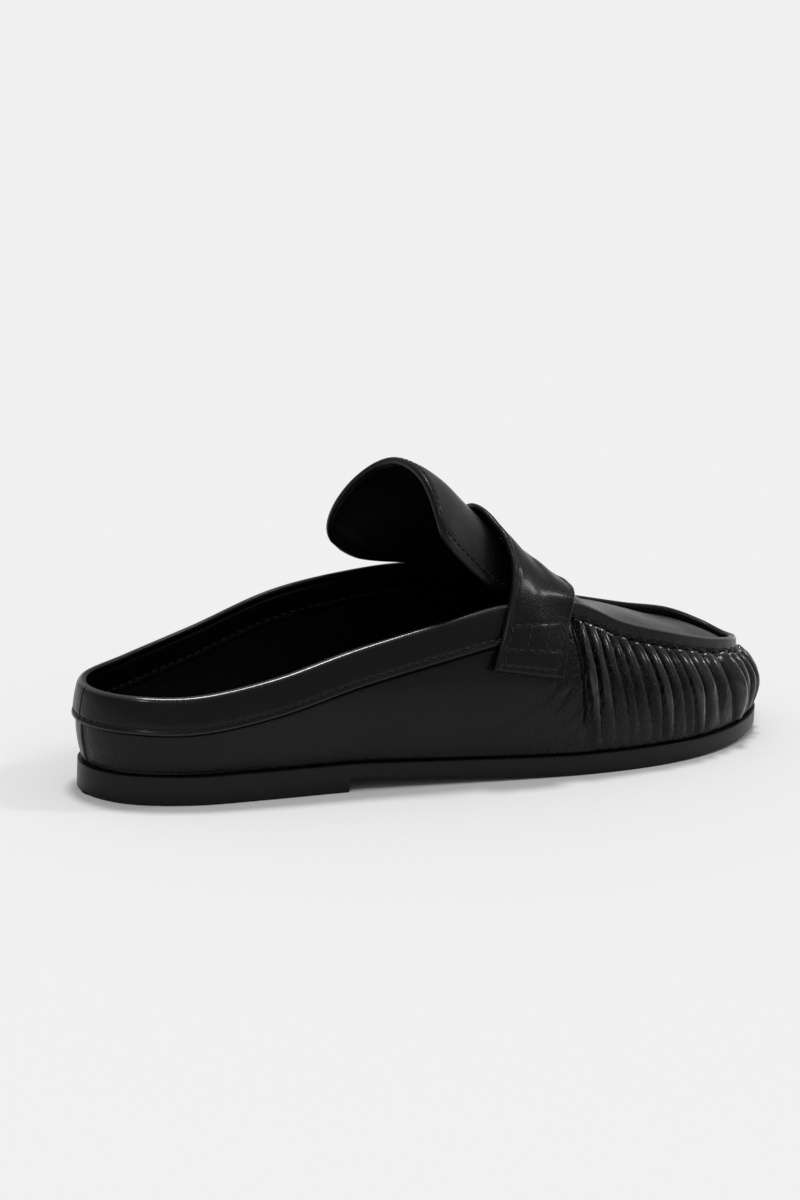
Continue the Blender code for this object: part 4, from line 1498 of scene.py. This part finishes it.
@dataclass
class Studio:
    """Pale floor, soft lights and the camera at the photograph's angle."""

    yaw: float = 31.0
    pitch: float = 12.81
    roll: float = 2.38
    distance: float = 1.067
    target: tuple[float, float, float] = (0.0799, 0.0, 0.0545)
    focal_pixels: float = 3169.6
    tall_pixels: float = 1200.0
    floor_tone: float = 0.86
    sky: float = 0.42
    lights: tuple[tuple[str, tuple[float, float, float], float, float], ...] = (
        ("overhead", (0.25, 0.30, 1.60), 12.0, 1.30),
        ("toe_side", (1.30, -0.35, 1.20), 8.0, 0.42),
        ("heel_side", (-0.70, -0.90, 1.50), 9.0, 0.46),
    )

    def build_floor(self) -> None:
        """Lay a wide pale floor."""
        bm = bmesh.new()
        bmesh.ops.create_grid(bm, x_segments=4, y_segments=4, size=30.0)
        floor = add_mesh("floor", bm)
        paper = Shader("floor_paper").finish(Base_Color=(self.floor_tone,) * 3, Roughness=0.9, Specular_IOR_Level=0.1)
        floor.data.materials.append(paper)

    def add_light(self, name: str, place: tuple[float, float, float], spread: float, power: float) -> None:
        """Set up a soft far light that shines from a place towards the shoe."""
        data = bpy.data.lights.new(name, "SUN")
        data.angle, data.energy = math.radians(spread), power
        light = add_object(name, data)
        light.location = place
        light.rotation_euler = (Vector(self.target) - Vector(place)).to_track_quat("-Z", "Y").to_euler()

    def build_lights(self) -> None:
        """Light the shoe from above and from both sides, under an even sky."""
        world = bpy.data.worlds.new("studio")
        world.use_nodes = True
        back = world.node_tree.nodes["Background"]
        back.inputs["Color"].default_value = (1.0, 1.0, 1.0, 1.0)
        back.inputs["Strength"].default_value = self.sky
        bpy.context.scene.world = world
        for light in self.lights:
            self.add_light(*light)

    def build_camera(self) -> None:
        """Set up the photograph's camera."""
        y, t, r = (math.radians(v) for v in (self.yaw, self.pitch, self.roll))
        ahead = Vector((math.sin(y) * math.cos(t), math.cos(y) * math.cos(t), -math.sin(t)))
        right = Vector((math.cos(y), -math.sin(y), 0.0))
        up = right.cross(ahead)
        right, up = right * math.cos(r) + up * math.sin(r), up * math.cos(r) - right * math.sin(r)
        data = bpy.data.cameras.new("photo_camera")
        data.sensor_fit, data.sensor_width = "AUTO", 36.0
        data.lens = self.focal_pixels / self.tall_pixels * data.sensor_width
        camera = add_object("photo_camera", data)
        frame = Matrix((right, up, -ahead)).transposed().to_4x4()
        frame.translation = Vector(self.target) - ahead * self.distance
        camera.matrix_world = frame
        bpy.context.scene.camera = camera

    def build(self) -> None:
        """Build the studio."""
        self.build_floor()
        self.build_lights()
        self.build_camera()
        bpy.context.scene.view_settings.view_transform = "Standard"


CREASES = (
    Crease(150.0, 22.0, 163.0, 36.0, 1.1, 0.35),
    Crease(153.0, 17.0, 168.0, 31.0, 1.0, 0.30),
    Crease(146.0, 25.0, 152.0, 33.0, 1.0, 0.25),
    Crease(158.0, 14.0, 170.0, 24.0, 1.2, 0.25),
    Crease(128.0, 18.0, 146.0, 27.0, 1.6, 0.22),
)


def main() -> None:
    """Build the dressed shoe around its frame, and report each piece."""
    logging.basicConfig(level=logging.INFO, format="%(message)s")
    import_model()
    last = Last()
    gathers = Gathers(last)
    bench = Bench(Wardrobe())
    stitcher = Stitcher(bench)
    Studio().build()
    SoleUnit(last, bench).build()
    Upper(last, gathers, bench, stitcher, creases=CREASES).build()
    Tongue(last, bench, stitcher).build()
    Strap(last, bench, stitcher).build()
    LOG.info("%d pieces", bench.count)


if __name__ == "__main__":
    main()
